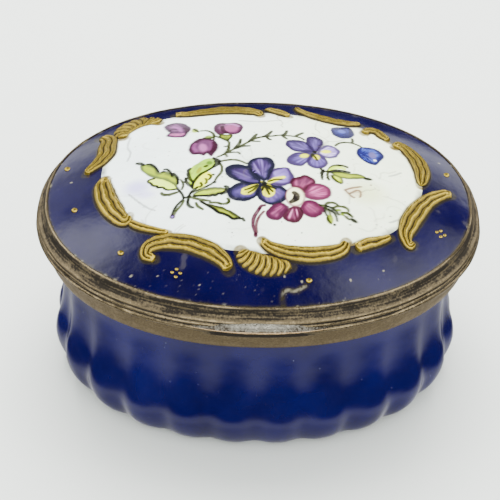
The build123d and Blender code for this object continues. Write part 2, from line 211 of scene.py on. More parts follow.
# Share of the wall's height, inset of the flute crests and half the depth of the flutes.
WALL_STATIONS = np.array([
    (0.00, 4.45, 0.16), (0.04, 3.40, 0.28), (0.12, 2.40, 0.40), (0.23, 1.82, 0.44),
    (0.32, 2.02, 0.42), (0.42, 2.70, 0.34), (0.52, 3.15, 0.24), (0.65, 3.50, 0.13),
    (0.78, 3.72, 0.04), (0.88, 3.55, 0.00), (1.00, 3.05, 0.00)])


def smooth_through(stations, at):
    """Values at points of the first column, on a smooth curve through the rows."""
    stations = np.asarray(stations, float)
    at = np.clip(np.asarray(at, float), stations[0, 0], stations[-1, 0])
    k = np.clip(np.searchsorted(stations[:, 0], at) - 1, 0, len(stations) - 2)
    low, high = stations[k], stations[k + 1]
    before = stations[np.maximum(k - 1, 0)]
    after = stations[np.minimum(k + 2, len(stations) - 1)]
    rise = (high[:, :1] - low[:, :1])
    t = ((at - low[:, 0]) / rise[:, 0])[:, None]
    slope_low = (high - before) / (high[:, :1] - before[:, :1]) * rise
    slope_high = (after - low) / (after[:, :1] - low[:, :1]) * rise
    value = ((2 * t**3 - 3 * t**2 + 1) * low + (t**3 - 2 * t**2 + t) * slope_low
             + (3 * t**2 - 2 * t**3) * high + (t**3 - t**2) * slope_high)
    return value[:, 1:]


def ease(value, low, high):
    """0 below low, 1 above high and smooth between."""
    t = np.clip((value - low) / (high - low), 0, 1)
    return t * t * (3 - 2 * t)


def oval(inset, count, turn_from=0.0):
    """Points evenly spaced round the plan oval drawn in by inset, and their normals."""
    fine = np.linspace(0, 2 * math.pi, 8 * count + 1)
    reach = np.array([HALF_LENGTH - inset, HALF_WIDTH - inset])
    run = np.stack([np.cos(fine), np.sin(fine)], 1)
    walk = np.sign(run) * np.abs(run) ** (2 / OVAL_POWER) * reach
    length = np.concatenate([[0], np.cumsum(np.linalg.norm(np.diff(walk, axis=0), axis=1))])
    target = (np.arange(count) / count + turn_from) % 1 * length[-1]
    points = np.stack([np.interp(target, length, walk[:, axis]) for axis in (0, 1)], 1)
    normal = np.sign(points) * np.abs(points / reach) ** (OVAL_POWER - 1) / reach
    return points, normal / np.linalg.norm(normal, axis=1, keepdims=True)


def fluted_ring(inset, half_depth, height):
    """One ring of the base wall: broad lobes with a narrow valley at each axis end."""
    count = FLUTES * FLUTE_STEPS
    points, normal = oval(inset + 0.8 * half_depth, count)
    phase = np.arange(count) * 2 * math.pi / FLUTE_STEPS + math.pi
    swell = half_depth * (np.cos(phase) - 0.14 * np.cos(2 * phase))
    flat = points + normal * swell[:, None]
    return np.column_stack([flat, np.full(count, height)])


def wrap_rings(rings, closed_profile=False):
    """Quads between rings of equal count, and back to the first ring if it closes."""
    count = len(rings[0])
    rows = len(rings)
    faces = []
    for row in range(rows if closed_profile else rows - 1):
        low, high = row * count, (row + 1) % rows * count
        for k in range(count):
            nxt = (k + 1) % count
            faces.append((low + k, low + nxt, high + nxt, high + k))
    return faces


def base_skin(depth_in, rings):
    """Rings of the base at a depth inside its outer surface, from the rim to the floor."""
    squeeze = 1 - depth_in / RIM_HEIGHT
    levels = np.linspace(1, 0, rings) ** 1.25
    stations = smooth_through(WALL_STATIONS, levels)
    skin = []
    for level, (inset, half_depth) in zip(levels, stations):
        height = depth_in + level * RIM_HEIGHT * squeeze
        skin.append(fluted_ring(inset + depth_in, max(half_depth, 0), height))
    return skin


def close_floor(skin, rings):
    """Rings that carry a skin's lowest ring inwards to a small ring at its middle."""
    edge = skin[-1]
    middle = np.array([0, 0, edge[0, 2]])
    return [middle + (edge - middle) * share for share in np.linspace(1, 0.02, rings)[1:]]


def fluted_shell(name, outer_depth, inner_depth, rings, floor_rings, material):
    """A closed shell between two depths of the base, its floor filled in."""
    outside = base_skin(outer_depth, rings)
    outside += close_floor(outside, floor_rings)
    inside = base_skin(inner_depth, rings)
    inside += close_floor(inside, floor_rings)
    rows = outside[::-1] + inside
    faces = wrap_rings(rows)
    count = len(rows[0])
    faces.append(tuple(range(count)))
    last = (len(rows) - 1) * count
    faces.append(tuple(last + k for k in reversed(range(count))))
    return add_piece(name, np.concatenate(rows), faces, material, sharp=50)


def two_tone(tree, share, low, low_colour, high, high_colour):
    """A colour socket that runs between two colours as a share goes from low to high."""
    ramp = add_node(tree, "ShaderNodeValToRGB", Fac=share)
    ramp.color_ramp.elements[0].position = low
    ramp.color_ramp.elements[0].color = low_colour
    ramp.color_ramp.elements[1].position = high
    ramp.color_ramp.elements[1].color = high_colour
    return ramp.outputs["Color"]


def lay_over(tree, share, under, colour):
    """A colour socket with one colour laid over another by a share."""
    mix = tree.nodes.new("ShaderNodeMix")
    mix.data_type = "RGBA"
    mix.inputs[7].default_value = colour
    tree.links.new(share, mix.inputs[0])
    tree.links.new(under, mix.inputs[6])
    return mix.outputs[2]


def patchy_gloss(tree, shader, noise, spread):
    """Roughness that varies in smears: a noise, and the range it is mapped to."""
    smear = add_node(tree, "ShaderNodeTexNoise", **noise)
    dull = add_node(tree, "ShaderNodeMapRange", Value=smear.outputs["Fac"], **spread)
    tree.links.new(dull.outputs["Result"], shader.inputs["Roughness"])


RIPPLE_DEPTH = 0.0004


def rippled(tree, shader, noise, strength):
    """A faint unevenness of the fired surface."""
    ripple = add_node(tree, "ShaderNodeTexNoise", **noise)
    wave = add_node(tree, "ShaderNodeBump", Strength=strength, Distance=RIPPLE_DEPTH,
                    Height=ripple.outputs["Fac"])
    tree.links.new(wave.outputs["Normal"], shader.inputs["Normal"])


cobalt, tree, shader = new_finish("cobalt_enamel")
place = add_node(tree, "ShaderNodeTexCoord")
cloud = add_node(tree, "ShaderNodeTexNoise", Vector=place.outputs["Object"], Scale=95.0, Detail=4.0,
                 Roughness=0.55)
depth = two_tone(tree, cloud.outputs["Fac"], 0.30, srgb(6, 3, 48), 0.75, srgb(12, 10, 72))
pits = add_node(tree, "ShaderNodeTexVoronoi", Vector=place.outputs["Object"], Scale=700.0,
                Randomness=1.0)
fleck = two_tone(tree, pits.outputs["Distance"], 0.035, (1, 1, 1, 1), 0.075, (0, 0, 0, 1))
patch = add_node(tree, "ShaderNodeTexNoise", Vector=place.outputs["Object"], Scale=420.0,
                 Detail=2.0)
patchy = add_node(tree, "ShaderNodeMapRange", Value=patch.outputs["Fac"], From_Min=0.52,
                  From_Max=0.62)
flecked = add_node(tree, "ShaderNodeMath")
flecked.operation = "MULTIPLY"
tree.links.new(fleck, flecked.inputs[0])
tree.links.new(patchy.outputs["Result"], flecked.inputs[1])
coat_colour = lay_over(tree, flecked.outputs[0], depth, srgb(84, 88, 110))
tree.links.new(coat_colour, shader.inputs["Base Color"])
patchy_gloss(tree, shader,
             dict(Vector=place.outputs["Object"], Scale=160.0, Detail=5.0, Roughness=0.6),
             dict(From_Min=0.35, From_Max=0.75, To_Min=0.06, To_Max=0.20))
rippled(tree, shader, dict(Vector=place.outputs["Object"], Scale=260.0, Detail=2.0), 0.10)
shader.inputs["IOR"].default_value = 1.55

base_blue = fluted_shell("base_blue_coat", 0.0, COAT, WALL_STEPS, 10, cobalt)
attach(base_blue, "base")
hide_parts("base_blue_enamel")

# ---------------------------------------------------------------------------------------
# Base, copper: the raised sheet itself, never seen between its two coats.
# ---------------------------------------------------------------------------------------
raw_copper, tree, shader = new_finish("raw_copper")
shader.inputs["Metallic"].default_value = 1.0
place = add_node(tree, "ShaderNodeTexCoord")
scale_bloom = add_node(tree, "ShaderNodeTexNoise", Vector=place.outputs["Object"], Scale=300.0,
                       Detail=6.0)
oxide = two_tone(tree, scale_bloom.outputs["Fac"], 0, srgb(120, 62, 40), 1, srgb(205, 130, 96))
tree.links.new(oxide, shader.inputs["Base Color"])
shader.inputs["Roughness"].default_value = 0.5
for node_name in ("base_copper_core", "lid_copper_core"):
    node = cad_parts[node_name]
    node.data.materials.clear()
    node.data.materials.append(raw_copper)

# ---------------------------------------------------------------------------------------
# Base, white lining: counter-enamel round the cavity, faintly grey-blue with fine pits.
# ---------------------------------------------------------------------------------------
COPPER = 0.4
LINING = 0.4

counter_white, tree, shader = new_finish("white_counter_enamel")
place = add_node(tree, "ShaderNodeTexCoord")
cloud = add_node(tree, "ShaderNodeTexNoise", Vector=place.outputs["Object"], Scale=120.0,
                 Detail=5.0)
milk = two_tone(tree, cloud.outputs["Fac"], 0.3, srgb(214, 219, 218), 0.7, srgb(232, 234, 230))
pits = add_node(tree, "ShaderNodeTexVoronoi", Vector=place.outputs["Object"], Scale=380.0)
pit = add_node(tree, "ShaderNodeMapRange", Value=pits.outputs["Distance"], From_Min=0.03,
               From_Max=0.07, To_Min=0.6, To_Max=0.0)
pitted = lay_over(tree, pit.outputs["Result"], milk, srgb(120, 118, 112))
tree.links.new(pitted, shader.inputs["Base Color"])
rippled(tree, shader, dict(Vector=place.outputs["Object"], Scale=300.0, Detail=3.0), 0.12)
shader.inputs["Roughness"].default_value = 0.16
shader.inputs["Coat Weight"].default_value = 0.4

base_lining = fluted_shell(
    "base_lining", COAT + COPPER, COAT + COPPER + LINING, WALL_STEPS // 2, 8, counter_white)
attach(base_lining, "base")
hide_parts("base_white_lining")

# ---------------------------------------------------------------------------------------
# Gilt mounts: drawn strip, rolled to section, bent to the oval, soldered and gilded, now
# rubbed on its edges and tarnished brown in its hollows.
# ---------------------------------------------------------------------------------------
SEAM = 26.0
RING_STEPS = 420


def read_layer(tree, name):
    """A node that reads one attribute of the piece."""
    layer = tree.nodes.new("ShaderNodeAttribute")
    layer.attribute_name = name
    return layer


CLOUDING = 0.16
WORN_ROUGHNESS = 0.75
DENT_DEPTH = 0.0002


def gilt_finish(name, bright, dark, roughness, speckle):
    """Worn gilding over a base metal, darkened where the soil_and_shade attribute is high: tarnish,
    and on some pieces painted shade.
    """
    material, tree, shader = new_finish(name)
    place = add_node(tree, "ShaderNodeTexCoord")
    soil_and_shade = read_layer(tree, "soil_and_shade")
    wear = add_node(tree, "ShaderNodeTexNoise", Vector=place.outputs["Object"], Scale=520.0,
                    Detail=6.0, Roughness=0.65)
    grit = add_node(tree, "ShaderNodeTexNoise", Vector=place.outputs["Object"], Scale=3200.0,
                    Detail=3.0, Roughness=0.7)
    spread = add_node(tree, "ShaderNodeMapRange", Value=grit.outputs["Fac"], From_Min=0.3,
                      From_Max=0.7, To_Min=-speckle, To_Max=speckle)
    cloudy = add_node(tree, "ShaderNodeMapRange", Value=wear.outputs["Fac"], From_Min=0.3,
                      From_Max=0.7, To_Min=-CLOUDING, To_Max=CLOUDING)
    both = tree.nodes.new("ShaderNodeMath")
    tree.links.new(spread.outputs["Result"], both.inputs[0])
    tree.links.new(cloudy.outputs["Result"], both.inputs[1])
    total = tree.nodes.new("ShaderNodeMath")
    tree.links.new(both.outputs[0], total.inputs[0])
    tree.links.new(soil_and_shade.outputs["Fac"], total.inputs[1])
    shade = add_node(tree, "ShaderNodeValToRGB")
    shade.color_ramp.elements[0].color = bright
    shade.color_ramp.elements[1].color = dark
    middle = shade.color_ramp.elements.new(0.5)
    middle.color = tuple(0.45 * b + 0.55 * d for b, d in zip(bright, dark))
    tree.links.new(total.outputs[0], shade.inputs["Fac"])
    tree.links.new(shade.outputs["Color"], shader.inputs["Base Color"])
    rough = add_node(tree, "ShaderNodeMapRange", Value=total.outputs[0], To_Min=roughness,
                     To_Max=WORN_ROUGHNESS)
    tree.links.new(rough.outputs["Result"], shader.inputs["Roughness"])
    metal = add_node(tree, "ShaderNodeMapRange", Value=total.outputs[0], From_Min=0.35,
                     From_Max=0.95, To_Min=1.0, To_Max=0.35)
    tree.links.new(metal.outputs["Result"], shader.inputs["Metallic"])
    dents = add_node(tree, "ShaderNodeBump", Height=grit.outputs["Fac"], Strength=0.35,
                     Distance=DENT_DEPTH)
    tree.links.new(dents.outputs["Normal"], shader.inputs["Normal"])
    return material


def set_values(piece, name, values):
    """One number at each point of a piece, for its material to read."""
    layer = piece.data.attributes.new(name, "FLOAT", "POINT")
    layer.data.foreach_set("value", np.asarray(values, np.float32))


def grain(x, y, size, seed, octaves=3):
    """Soft random mottle from about -1 to 1 with patches of about one size."""
    rng = np.random.default_rng(seed)
    total = np.zeros_like(x, dtype=float)
    for octave in range(octaves):
        for _ in range(7):
            turn, offset = rng.uniform(0, 2 * math.pi, 2)
            pace = rng.uniform(0.7, 1.4) * math.pi * 2**octave / size
            total += np.sin(pace * (x * np.cos(turn) + y * np.sin(turn)) + offset) / 2**octave
    return total / 4.5


def mount_ring(name, section, material, unevenness=0.0, streaks=0.07, seed=1):
    """A closed section of (inset, height, soil and painted shade) rows bent round the plan oval."""
    rng = np.random.default_rng(seed)
    turn = np.arange(RING_STEPS) * 2 * math.pi / RING_STEPS
    rings = []
    soil_and_shade_values = []
    for row, (inset, height, soil_and_shade) in enumerate(section):
        points, normal = oval(inset, RING_STEPS)
        wobble = sum(
            rng.normal() * np.cos(turn * k + rng.uniform(0, 6.3)) / k**0.5
            for k in range(3, 40))
        push = unevenness * wobble / 6
        rings.append(np.column_stack([points + normal * push[:, None],
                                      np.full(RING_STEPS, height) + push * 0.5]))
        streak = grain(turn * HALF_LENGTH * 0.45, turn * 0 + row * 1.7, 2.6, seed, 4)
        soil_and_shade_values.append(soil_and_shade * 1.12 + streaks * streak)
    rows = rings[::-1]
    ring = add_piece(name, np.concatenate(rows), wrap_rings(rows, closed_profile=True),
                     material, sharp=40)
    set_values(ring, "soil_and_shade", np.concatenate(soil_and_shade_values[::-1]))
    return ring


def rounded(corners, steps=4):
    """A section with each corner row rounded off by a short curve of steps rows."""
    corners = np.asarray(corners, float)
    rows = []
    for before, corner, after in zip(np.roll(corners, 1, 0), corners, np.roll(corners, -1, 0)):
        start = corner + (before - corner) * 0.3
        end = corner + (after - corner) * 0.3
        for t in np.linspace(0, 1, steps):
            rows.append((1 - t) ** 2 * start + 2 * t * (1 - t) * corner + t**2 * end)
    return rows


band_gilt = gilt_finish("band_gilt", srgb(176, 156, 116), srgb(36, 28, 16), 0.42, 0.26)
BAND_FOOT = 22.3
BAND_WALL_INSET = 3.3
band = mount_ring("base_band", rounded([
    (1.75, BAND_FOOT, 0.20), (1.50, BAND_FOOT + 0.35, 0.06), (1.05, 24.2, 0.26),
    (0.70, 25.4, 0.24), (0.62, 25.62, 0.24), (0.58, SEAM - 0.12, 0.30),
    (0.85, SEAM - 0.05, 0.9), (3.18, SEAM - 0.05, 0.4), (3.18, 24.7, 0.4),
    (2.95, 24.7, 0.4), (BAND_WALL_INSET, BAND_FOOT + 0.05, 0.9)]),
    band_gilt, unevenness=0.03, seed=3)

# The hinge's barrel is let into both mounts, so each ring is cut away round it.
hinge_low, hinge_high = (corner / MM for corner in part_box("hinge_pin"))
HINGE_Y = (hinge_low.y + hinge_high.y) / 2
BARREL_RADIUS = 0.9
BARREL_RELIEF = 0.15
barrel_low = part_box("base_hinge_knuckles")[0] / MM
BARREL_HALF = -barrel_low.x


def rod(name, start, end, radius, material, sides=48, bevel=0.0):
    """A round bar along X between two places on the hinge line, its ends eased."""
    steps = [(start, radius - bevel), (start + bevel, radius), (end - bevel, radius),
             (end, radius - bevel)]
    turn = np.arange(sides) * 2 * math.pi / sides
    rings = [np.column_stack([np.full(sides, x), HINGE_Y + r * np.cos(turn),
                              SEAM + r * np.sin(turn)]) for x, r in steps]
    faces = wrap_rings(rings)
    faces.append(tuple(reversed(range(sides))))
    faces.append(tuple(3 * sides + k for k in range(sides)))
    return add_piece(name, np.concatenate(rings), faces, material, sharp=40)


def cut_hinge_seat(ring):
    """Cut the barrel's seat out of a mount ring and keep the result as plain mesh."""
    cutter = rod("seat_cutter", -BARREL_HALF - BARREL_RELIEF, BARREL_HALF + BARREL_RELIEF,
                 BARREL_RADIUS + BARREL_RELIEF, ring.data.materials[0])
    cut = ring.modifiers.new("hinge_seat", "BOOLEAN")
    cut.operation = "DIFFERENCE"
    cut.solver = "EXACT"
    cut.object = cutter
    graph = bpy.context.evaluated_depsgraph_get()
    mesh = bpy.data.meshes.new_from_object(ring.evaluated_get(graph))
    ring.modifiers.remove(cut)
    ring.data = mesh
    bpy.data.objects.remove(cutter)


cut_hinge_seat(band)
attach(band, "base")
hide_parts("base_mount_band")

bearer = mount_ring("base_bearer", rounded([
    (3.66, 24.75, 0.3), (3.66, 27.15, 0.10), (3.22, 27.15, 0.10), (3.22, 24.75, 0.3)]),
    band_gilt, seed=4)
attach(bearer, "base")
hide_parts("base_bearer_ring")

# The lid mount: rose-coloured bead at the seam, a torus, a tarnished hollow and a thin burnished
# lip that laps over the enamel in small uneven notches. Its rows nearest the seam are dark as
# painted shade in the gap between lid and base.
lid_gilt = gilt_finish("lid_gilt", srgb(166, 148, 112), srgb(32, 25, 12), 0.24, 0.30)
EDGE = 29.85
lid_ring = mount_ring("lid_mount", [
    (0.72, SEAM + 0.05, 1.10), (0.50, SEAM + 0.08, 0.80), (0.24, SEAM + 0.20, 0.35),
    (0.07, SEAM + 0.42, 0.08), (0.00, SEAM + 0.66, 0.00), (0.04, SEAM + 0.88, 0.10),
    (0.16, SEAM + 1.04, 0.55), (0.30, SEAM + 1.14, 1.10), (0.34, SEAM + 1.22, 1.15),
    (0.22, SEAM + 1.32, 0.70), (0.13, SEAM + 1.46, 0.12), (0.14, SEAM + 1.62, 0.05),
    (0.24, SEAM + 1.78, 0.45), (0.38, SEAM + 1.88, 1.05), (0.40, SEAM + 1.96, 1.10),
    (0.32, SEAM + 2.06, 0.60), (0.36, SEAM + 2.22, 0.30), (0.52, SEAM + 2.38, 0.50),
    (0.78, SEAM + 2.52, 0.72), (0.92, SEAM + 2.60, 0.90), (1.06, SEAM + 2.74, 0.70),
    (1.20, SEAM + 2.92, 1.00), (1.26, SEAM + 3.10, 0.72), (1.31, SEAM + 3.30, 1.00),
    (1.36, SEAM + 3.52, 0.80), (1.42, SEAM + 3.74, 1.00), (1.50, SEAM + 3.90, 0.55),
    (1.60, SEAM + 3.99, 0.02), (1.69, SEAM + 4.03, 0.10), (1.78, SEAM + 4.03, 0.60),
    (1.86, SEAM + 3.97, 1.00), (1.78, SEAM + 3.80, 1.00), (1.76, SEAM + 2.55, 0.8),
    (2.88, SEAM + 2.50, 0.5), (2.88, SEAM + 0.05, 0.5)], lid_gilt, unevenness=0.09,
    streaks=0.34, seed=8)
cut_hinge_seat(lid_ring)
# Below the thumb lip the bead and the band's top edge are darkened: painted shadow under the lip.
for ring in (lid_ring, band):
    places = np.array([vertex.co for vertex in ring.data.vertices]) / MM
    lip_shadow_zone = (places[:, 1] < 0) * (places[:, 2] < SEAM + 1.1) * (places[:, 2] > SEAM - 0.7)
    soil_and_shade_layer = ring.data.attributes["soil_and_shade"].data
    soil_and_shade_values = np.empty(len(soil_and_shade_layer), np.float32)
    soil_and_shade_layer.foreach_get("value", soil_and_shade_values)
    soil_and_shade_values += 1.6 * np.exp(-(places[:, 0] / 7) ** 4) * lip_shadow_zone
    soil_and_shade_layer.foreach_set("value", soil_and_shade_values.astype(np.float32))
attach(lid_ring, "lid")
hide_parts("lid_mount_ring")

# Thumb lip: a crescent of strip soldered under the front of the bead, its top worn white.
LIP_HALF = 9.4
LIP_REACH = 0.75
LIP_END_RISE = 1.0
lip_metal = gilt_finish("thumb_lip_metal", srgb(178, 174, 158), srgb(46, 38, 26), 0.24, 0.55)
tree = lip_metal.node_tree
rosy_part = read_layer(tree, "rosy")
rosy = lay_over(tree, rosy_part.outputs["Fac"], tree.nodes["Color Ramp"].outputs["Color"],
                srgb(226, 190, 140))
tree.links.new(rosy, tree.nodes["Principled BSDF"].inputs["Base Color"])
across = np.linspace(-1, 1, 81)
front_y, _ = oval(0.0, 4000)
front_edge = front_y[front_y[:, 1] < 0]
front_edge = front_edge[np.argsort(front_edge[:, 0])]
lip_rows = []
lip_soil_and_shade = []
lip_rosy = []
# Rows of how far out, how far above the seam, soil and painted shade, and how rosy the rubbed edge
# is. The dark rows under the rubbed edge are painted shade beneath the lip.
LIP_SECTION = [(-0.75, 2.50, 1.10, 0), (-0.45, 2.48, 0.80, 0), (-0.10, 2.32, 0.20, 0),
               (0.20, 2.10, 0.0, 0), (0.42, 1.92, 0.15, 0), (0.58, 1.78, 0.50, 0),
               (0.72, 1.70, 0.15, 0), (0.84, 1.60, 0.70, 0), (0.92, 1.53, 1.05, 0),
               (0.97, 1.48, 0.2, 1), (1.0, 1.40, 0.0, 1), (1.0, 1.28, 0.3, 1),
               (0.97, 1.22, 1.2, 0), (0.8, 1.14, 1.4, 0), (-0.75, 1.05, 1.4, 0)]
for out, rise, soil_and_shade, rose in LIP_SECTION:
    x = across * LIP_HALF
    y = np.interp(x, front_edge[:, 0], front_edge[:, 1])
    swell = LIP_REACH * np.maximum(1 - across**2, 0) ** 0.85
    taper = 1 - 0.86 * np.abs(across) ** 1.9
    height = LIP_END_RISE + (rise - LIP_END_RISE) * taper
    row = np.column_stack([x, y + 0.35 - out * (swell + 0.35), SEAM + height])
    lip_rows.append(row)
    worn = 0.85 * ease(np.abs(across), 0.1, 0.85) * (1 - rose)
    blotch = 0.22 * grain(x, x * 0 + rise * 2, 1.6, 61, 4)
    lip_soil_and_shade.append(soil_and_shade + (1 - min(soil_and_shade, 1)) * worn + blotch)
    lip_rosy.append(np.full(len(across), rose))
count = len(across)
faces = []
for row in range(len(lip_rows)):
    low, high = row * count, (row + 1) % len(lip_rows) * count
    for k in range(count - 1):
        faces.append((low + k, high + k, high + k + 1, low + k + 1))
faces.append(tuple(row * count for row in range(len(lip_rows))))
faces.append(tuple(row * count + count - 1 for row in reversed(range(len(lip_rows)))))
lip = add_piece("thumb_lip_crescent", np.concatenate(lip_rows), faces, lip_metal, sharp=50)
set_values(lip, "soil_and_shade", np.concatenate(lip_soil_and_shade))
set_values(lip, "rosy", np.concatenate(lip_rosy))
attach(lip, "lid")
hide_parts("thumb_lip")

# ---------------------------------------------------------------------------------------
# Hinge: five knuckles of tube, three soldered to the base and two to the lid, on one pin.
# ---------------------------------------------------------------------------------------
hinge_gilt = gilt_finish("hinge_gilt", srgb(160, 130, 80), srgb(60, 46, 26), 0.36, 0.25)
for node_name in ("base_hinge_knuckles", "lid_hinge_knuckles", "hinge_pin"):
    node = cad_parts[node_name]
    node.data.materials.clear()
    node.data.materials.append(hinge_gilt)

# ---------------------------------------------------------------------------------------
# Lid, white lining: counter-enamel inside the dome.
# ---------------------------------------------------------------------------------------
lid_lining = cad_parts["lid_white_lining"]
lid_lining.data.materials.clear()
lid_lining.data.materials.append(counter_white)

# ---------------------------------------------------------------------------------------
# Lid, blue ground: cobalt enamel from the wavy edge of the white panel out to the mount,
# with old grey bruises, pin holes and one brown mended crack at the front.
# ---------------------------------------------------------------------------------------
DOME_RISE = 5.3
DOME_POWER = 2.4
EDGE_INSET = 1.75
# Corners of the white panel's wavy edge, right and back from the middle of the lid.
PANEL_EDGE = [
    (24.0, 1.0), (23.0, 6.0), (20.0, 11.0), (16.3, 14.2), (10.5, 15.8), (4.0, 17.4),
    (-4.0, 17.6), (-12.0, 17.2), (-18.0, 14.8), (-22.3, 10.0), (-23.2, 4.0), (-23.0, -2.0),
    (-20.6, -7.6), (-16.0, -11.8), (-9.0, -14.6), (-2.0, -16.0), (5.0, -16.2),
    (12.0, -14.4), (18.0, -11.4), (21.4, -7.4), (23.4, -3.0)]


def dome(x, y):
    """Height of the lid's enamel over a place in plan."""
    reach = (np.abs(x / (HALF_LENGTH - EDGE_INSET)) ** OVAL_POWER
             + np.abs(y / (HALF_WIDTH - EDGE_INSET)) ** OVAL_POWER) ** (1 / OVAL_POWER)
    return EDGE + DOME_RISE * (1 - np.minimum(reach, 1.05) ** DOME_POWER)


def follow(points, steps=8, closed=False):
    """A smooth path through points of any width, steps places for each span."""
    rows = np.asarray(points, float)
    if closed:
        rows = np.vstack([rows[-1:], rows, rows[:2]])
    else:
        rows = np.vstack([2 * rows[:1] - rows[1:2], rows, 2 * rows[-1:] - rows[-2:-1]])
    path = []
    for k in range(1, len(rows) - 2):
        a, b, c, d = rows[k - 1:k + 3]
        for t in np.arange(steps) / steps:
            path.append(0.5 * (2 * b + (c - a) * t + (2 * a - 5 * b + 4 * c - d) * t**2
                               + (3 * b - a - 3 * c + d) * t**3))
    if not closed:
        path.append(rows[-2])
    return np.array(path)


def reach_at(outline, angle):
    """How far from the middle a closed outline lies in each direction."""
    heading = np.arctan2(outline[:, 1], outline[:, 0])
    order = np.argsort(heading)
    heading, length = heading[order], np.linalg.norm(outline, axis=1)[order]
    return np.interp(angle, heading, length, period=2 * math.pi)


def away_from(path, x, y):
    """Distance of places from a path, and how far along it the nearest point is, 0 to 1."""
    best = np.full(len(x), 1e9)
    along = np.zeros(len(x))
    for k in range(len(path) - 1):
        (ax, ay), (bx, by) = path[k][:2], path[k + 1][:2]
        dx, dy = bx - ax, by - ay
        span = max(dx * dx + dy * dy, 1e-9)
        t = np.clip(((x - ax) * dx + (y - ay) * dy) / span, 0, 1)
        gap = np.hypot(x - ax - t * dx, y - ay - t * dy)
        closer = gap < best
        best[closer] = gap[closer]
        along[closer] = (k + t[closer]) / (len(path) - 1)
    return best, along


# The raised scrolls, whose edges hold grime and painted shade on both coats.
# Name: ridges, whether they run along the scroll or across it, which ends have a knob, and
# the stations (right, back, width) of its middle line.
SCROLLS = {
    "scroll_left_lower": (3, "along", "start", [
        (-22.7, 0.2, 1.5), (-22.9, -1.2, 2.6), (-22.6, -3.2, 3.1), (-21.8, -5.6, 3.2),
        (-20.6, -7.9, 2.9), (-19.3, -9.4, 2.1), (-18.7, -8.4, 1.0)]),
    "scroll_left_foot": (2, "along", "end", [
        (-18.6, -9.8, 1.2), (-17.4, -10.7, 1.4), (-15.8, -11.5, 1.2), (-14.6, -12.0, 1.0),
        (-13.0, -12.4, 0.8)]),
    "scroll_left_upper": (3, "along", "end", [
        (-24.2, 12.6, 1.6), (-22.9, 11.4, 2.5), (-22.9, 9.2, 2.9), (-23.0, 6.8, 2.9),
        (-23.8, 4.9, 2.5), (-25.0, 3.4, 1.8), (-25.7, 2.4, 1.0)]),
    "scroll_upper_left": (10, "across", "start", [
        (-20.6, 11.2, 1.4), (-20.9, 13.0, 2.6), (-19.9, 15.2, 3.3), (-18.0, 16.4, 3.4),
        (-16.2, 16.0, 2.6), (-15.3, 15.0, 1.3)]),
    "scroll_top_left": (3, "along", "start", [
        (-12.8, 17.8, 1.5), (-11.0, 17.3, 1.8), (-8.8, 17.8, 2.5), (-5.6, 18.5, 3.2),
        (-2.6, 18.3, 3.1), (-0.4, 17.3, 2.2), (0.3, 16.2, 1.2)]),
    "scroll_top_middle": (2, "along", "end", [
        (1.0, 18.9, 1.0), (2.4, 18.2, 1.6), (3.8, 17.0, 1.6), (4.7, 16.2, 1.0)]),
    "scroll_top_right": (2, "along", "none", [
        (5.9, 20.6, 0.8), (6.6, 18.7, 1.4), (8.4, 16.9, 1.9), (11.0, 15.6, 2.1),
        (13.8, 15.1, 1.9), (15.8, 15.8, 1.1)]),
    "scroll_right_knot": (2, "along", "both", [
        (16.1, 12.4, 1.2), (16.8, 13.6, 1.6), (18.2, 13.5, 1.7), (19.0, 12.3, 1.7),
        (19.8, 11.2, 1.2)]),
    "scroll_right_upper": (3, "along", "start", [
        (20.6, 9.4, 1.2), (21.4, 10.2, 1.9), (22.8, 8.8, 2.6), (23.9, 6.4, 2.9),
        (24.3, 3.8, 2.7), (24.1, 1.6, 2.0), (23.8, 0.2, 1.2)]),
    "scroll_right_lower": (3, "along", "start", [
        (28.3, 0.0, 1.5), (26.8, -0.9, 2.0), (25.2, -2.4, 2.3), (23.8, -4.2, 2.6),
        (22.5, -6.4, 3.0), (21.3, -8.9, 2.8), (20.7, -11.2, 2.0), (21.2, -12.7, 1.3),
        (22.0, -12.0, 0.8)]),
    "scroll_front_right": (2, "along", "end", [
        (18.6, -11.8, 0.9), (17.0, -12.7, 1.5), (15.2, -13.5, 1.9), (13.4, -14.5, 1.5)]),
    "scroll_front_long": (3, "along", "end", [
        (12.1, -13.6, 1.2), (11.4, -15.0, 2.0), (9.2, -15.9, 2.5), (6.2, -16.3, 2.6),
        (3.2, -16.0, 2.3), (1.2, -15.2, 1.7), (0.2, -14.2, 1.2)]),
    "scroll_front_shell": (10, "across", "none", [
        (-2.8, -15.9, 1.6), (-2.0, -17.0, 2.6), (-0.2, -17.9, 3.0), (2.0, -18.3, 2.6),
        (4.3, -18.2, 1.2)]),
    "scroll_front_left": (3, "along", "both", [
        (-14.7, -16.5, 1.1), (-16.0, -15.9, 1.6), (-15.7, -14.6, 2.2), (-13.9, -13.9, 2.6),
        (-11.4, -14.1, 2.8), (-8.9, -14.9, 2.9), (-6.8, -16.0, 2.7), (-5.2, -17.4, 2.2),
        (-4.4, -18.8, 1.5)])}


def grime_and_shade_beside_scrolls(x, y):
    """How much grime and painted shade a place gets from lying just outside the edge of a raised
    scroll.
    """
    scroll_grime_and_shade = np.zeros(len(x))
    for _, _, _, stations in SCROLLS.values():
        spine = follow(stations, 5)
        near = np.flatnonzero((x > spine[:, 0].min() - 3) & (x < spine[:, 0].max() + 3)
                              & (y > spine[:, 1].min() - 3) & (y < spine[:, 1].max() + 3))
        gap, along = away_from(spine, x[near], y[near])
        half = np.interp(along, np.linspace(0, 1, len(spine)), spine[:, 2]) / 2
        scroll_grime_and_shade[near] = np.maximum(scroll_grime_and_shade[near], 1 - ease(gap - half, 0.08, 0.34))
    return scroll_grime_and_shade


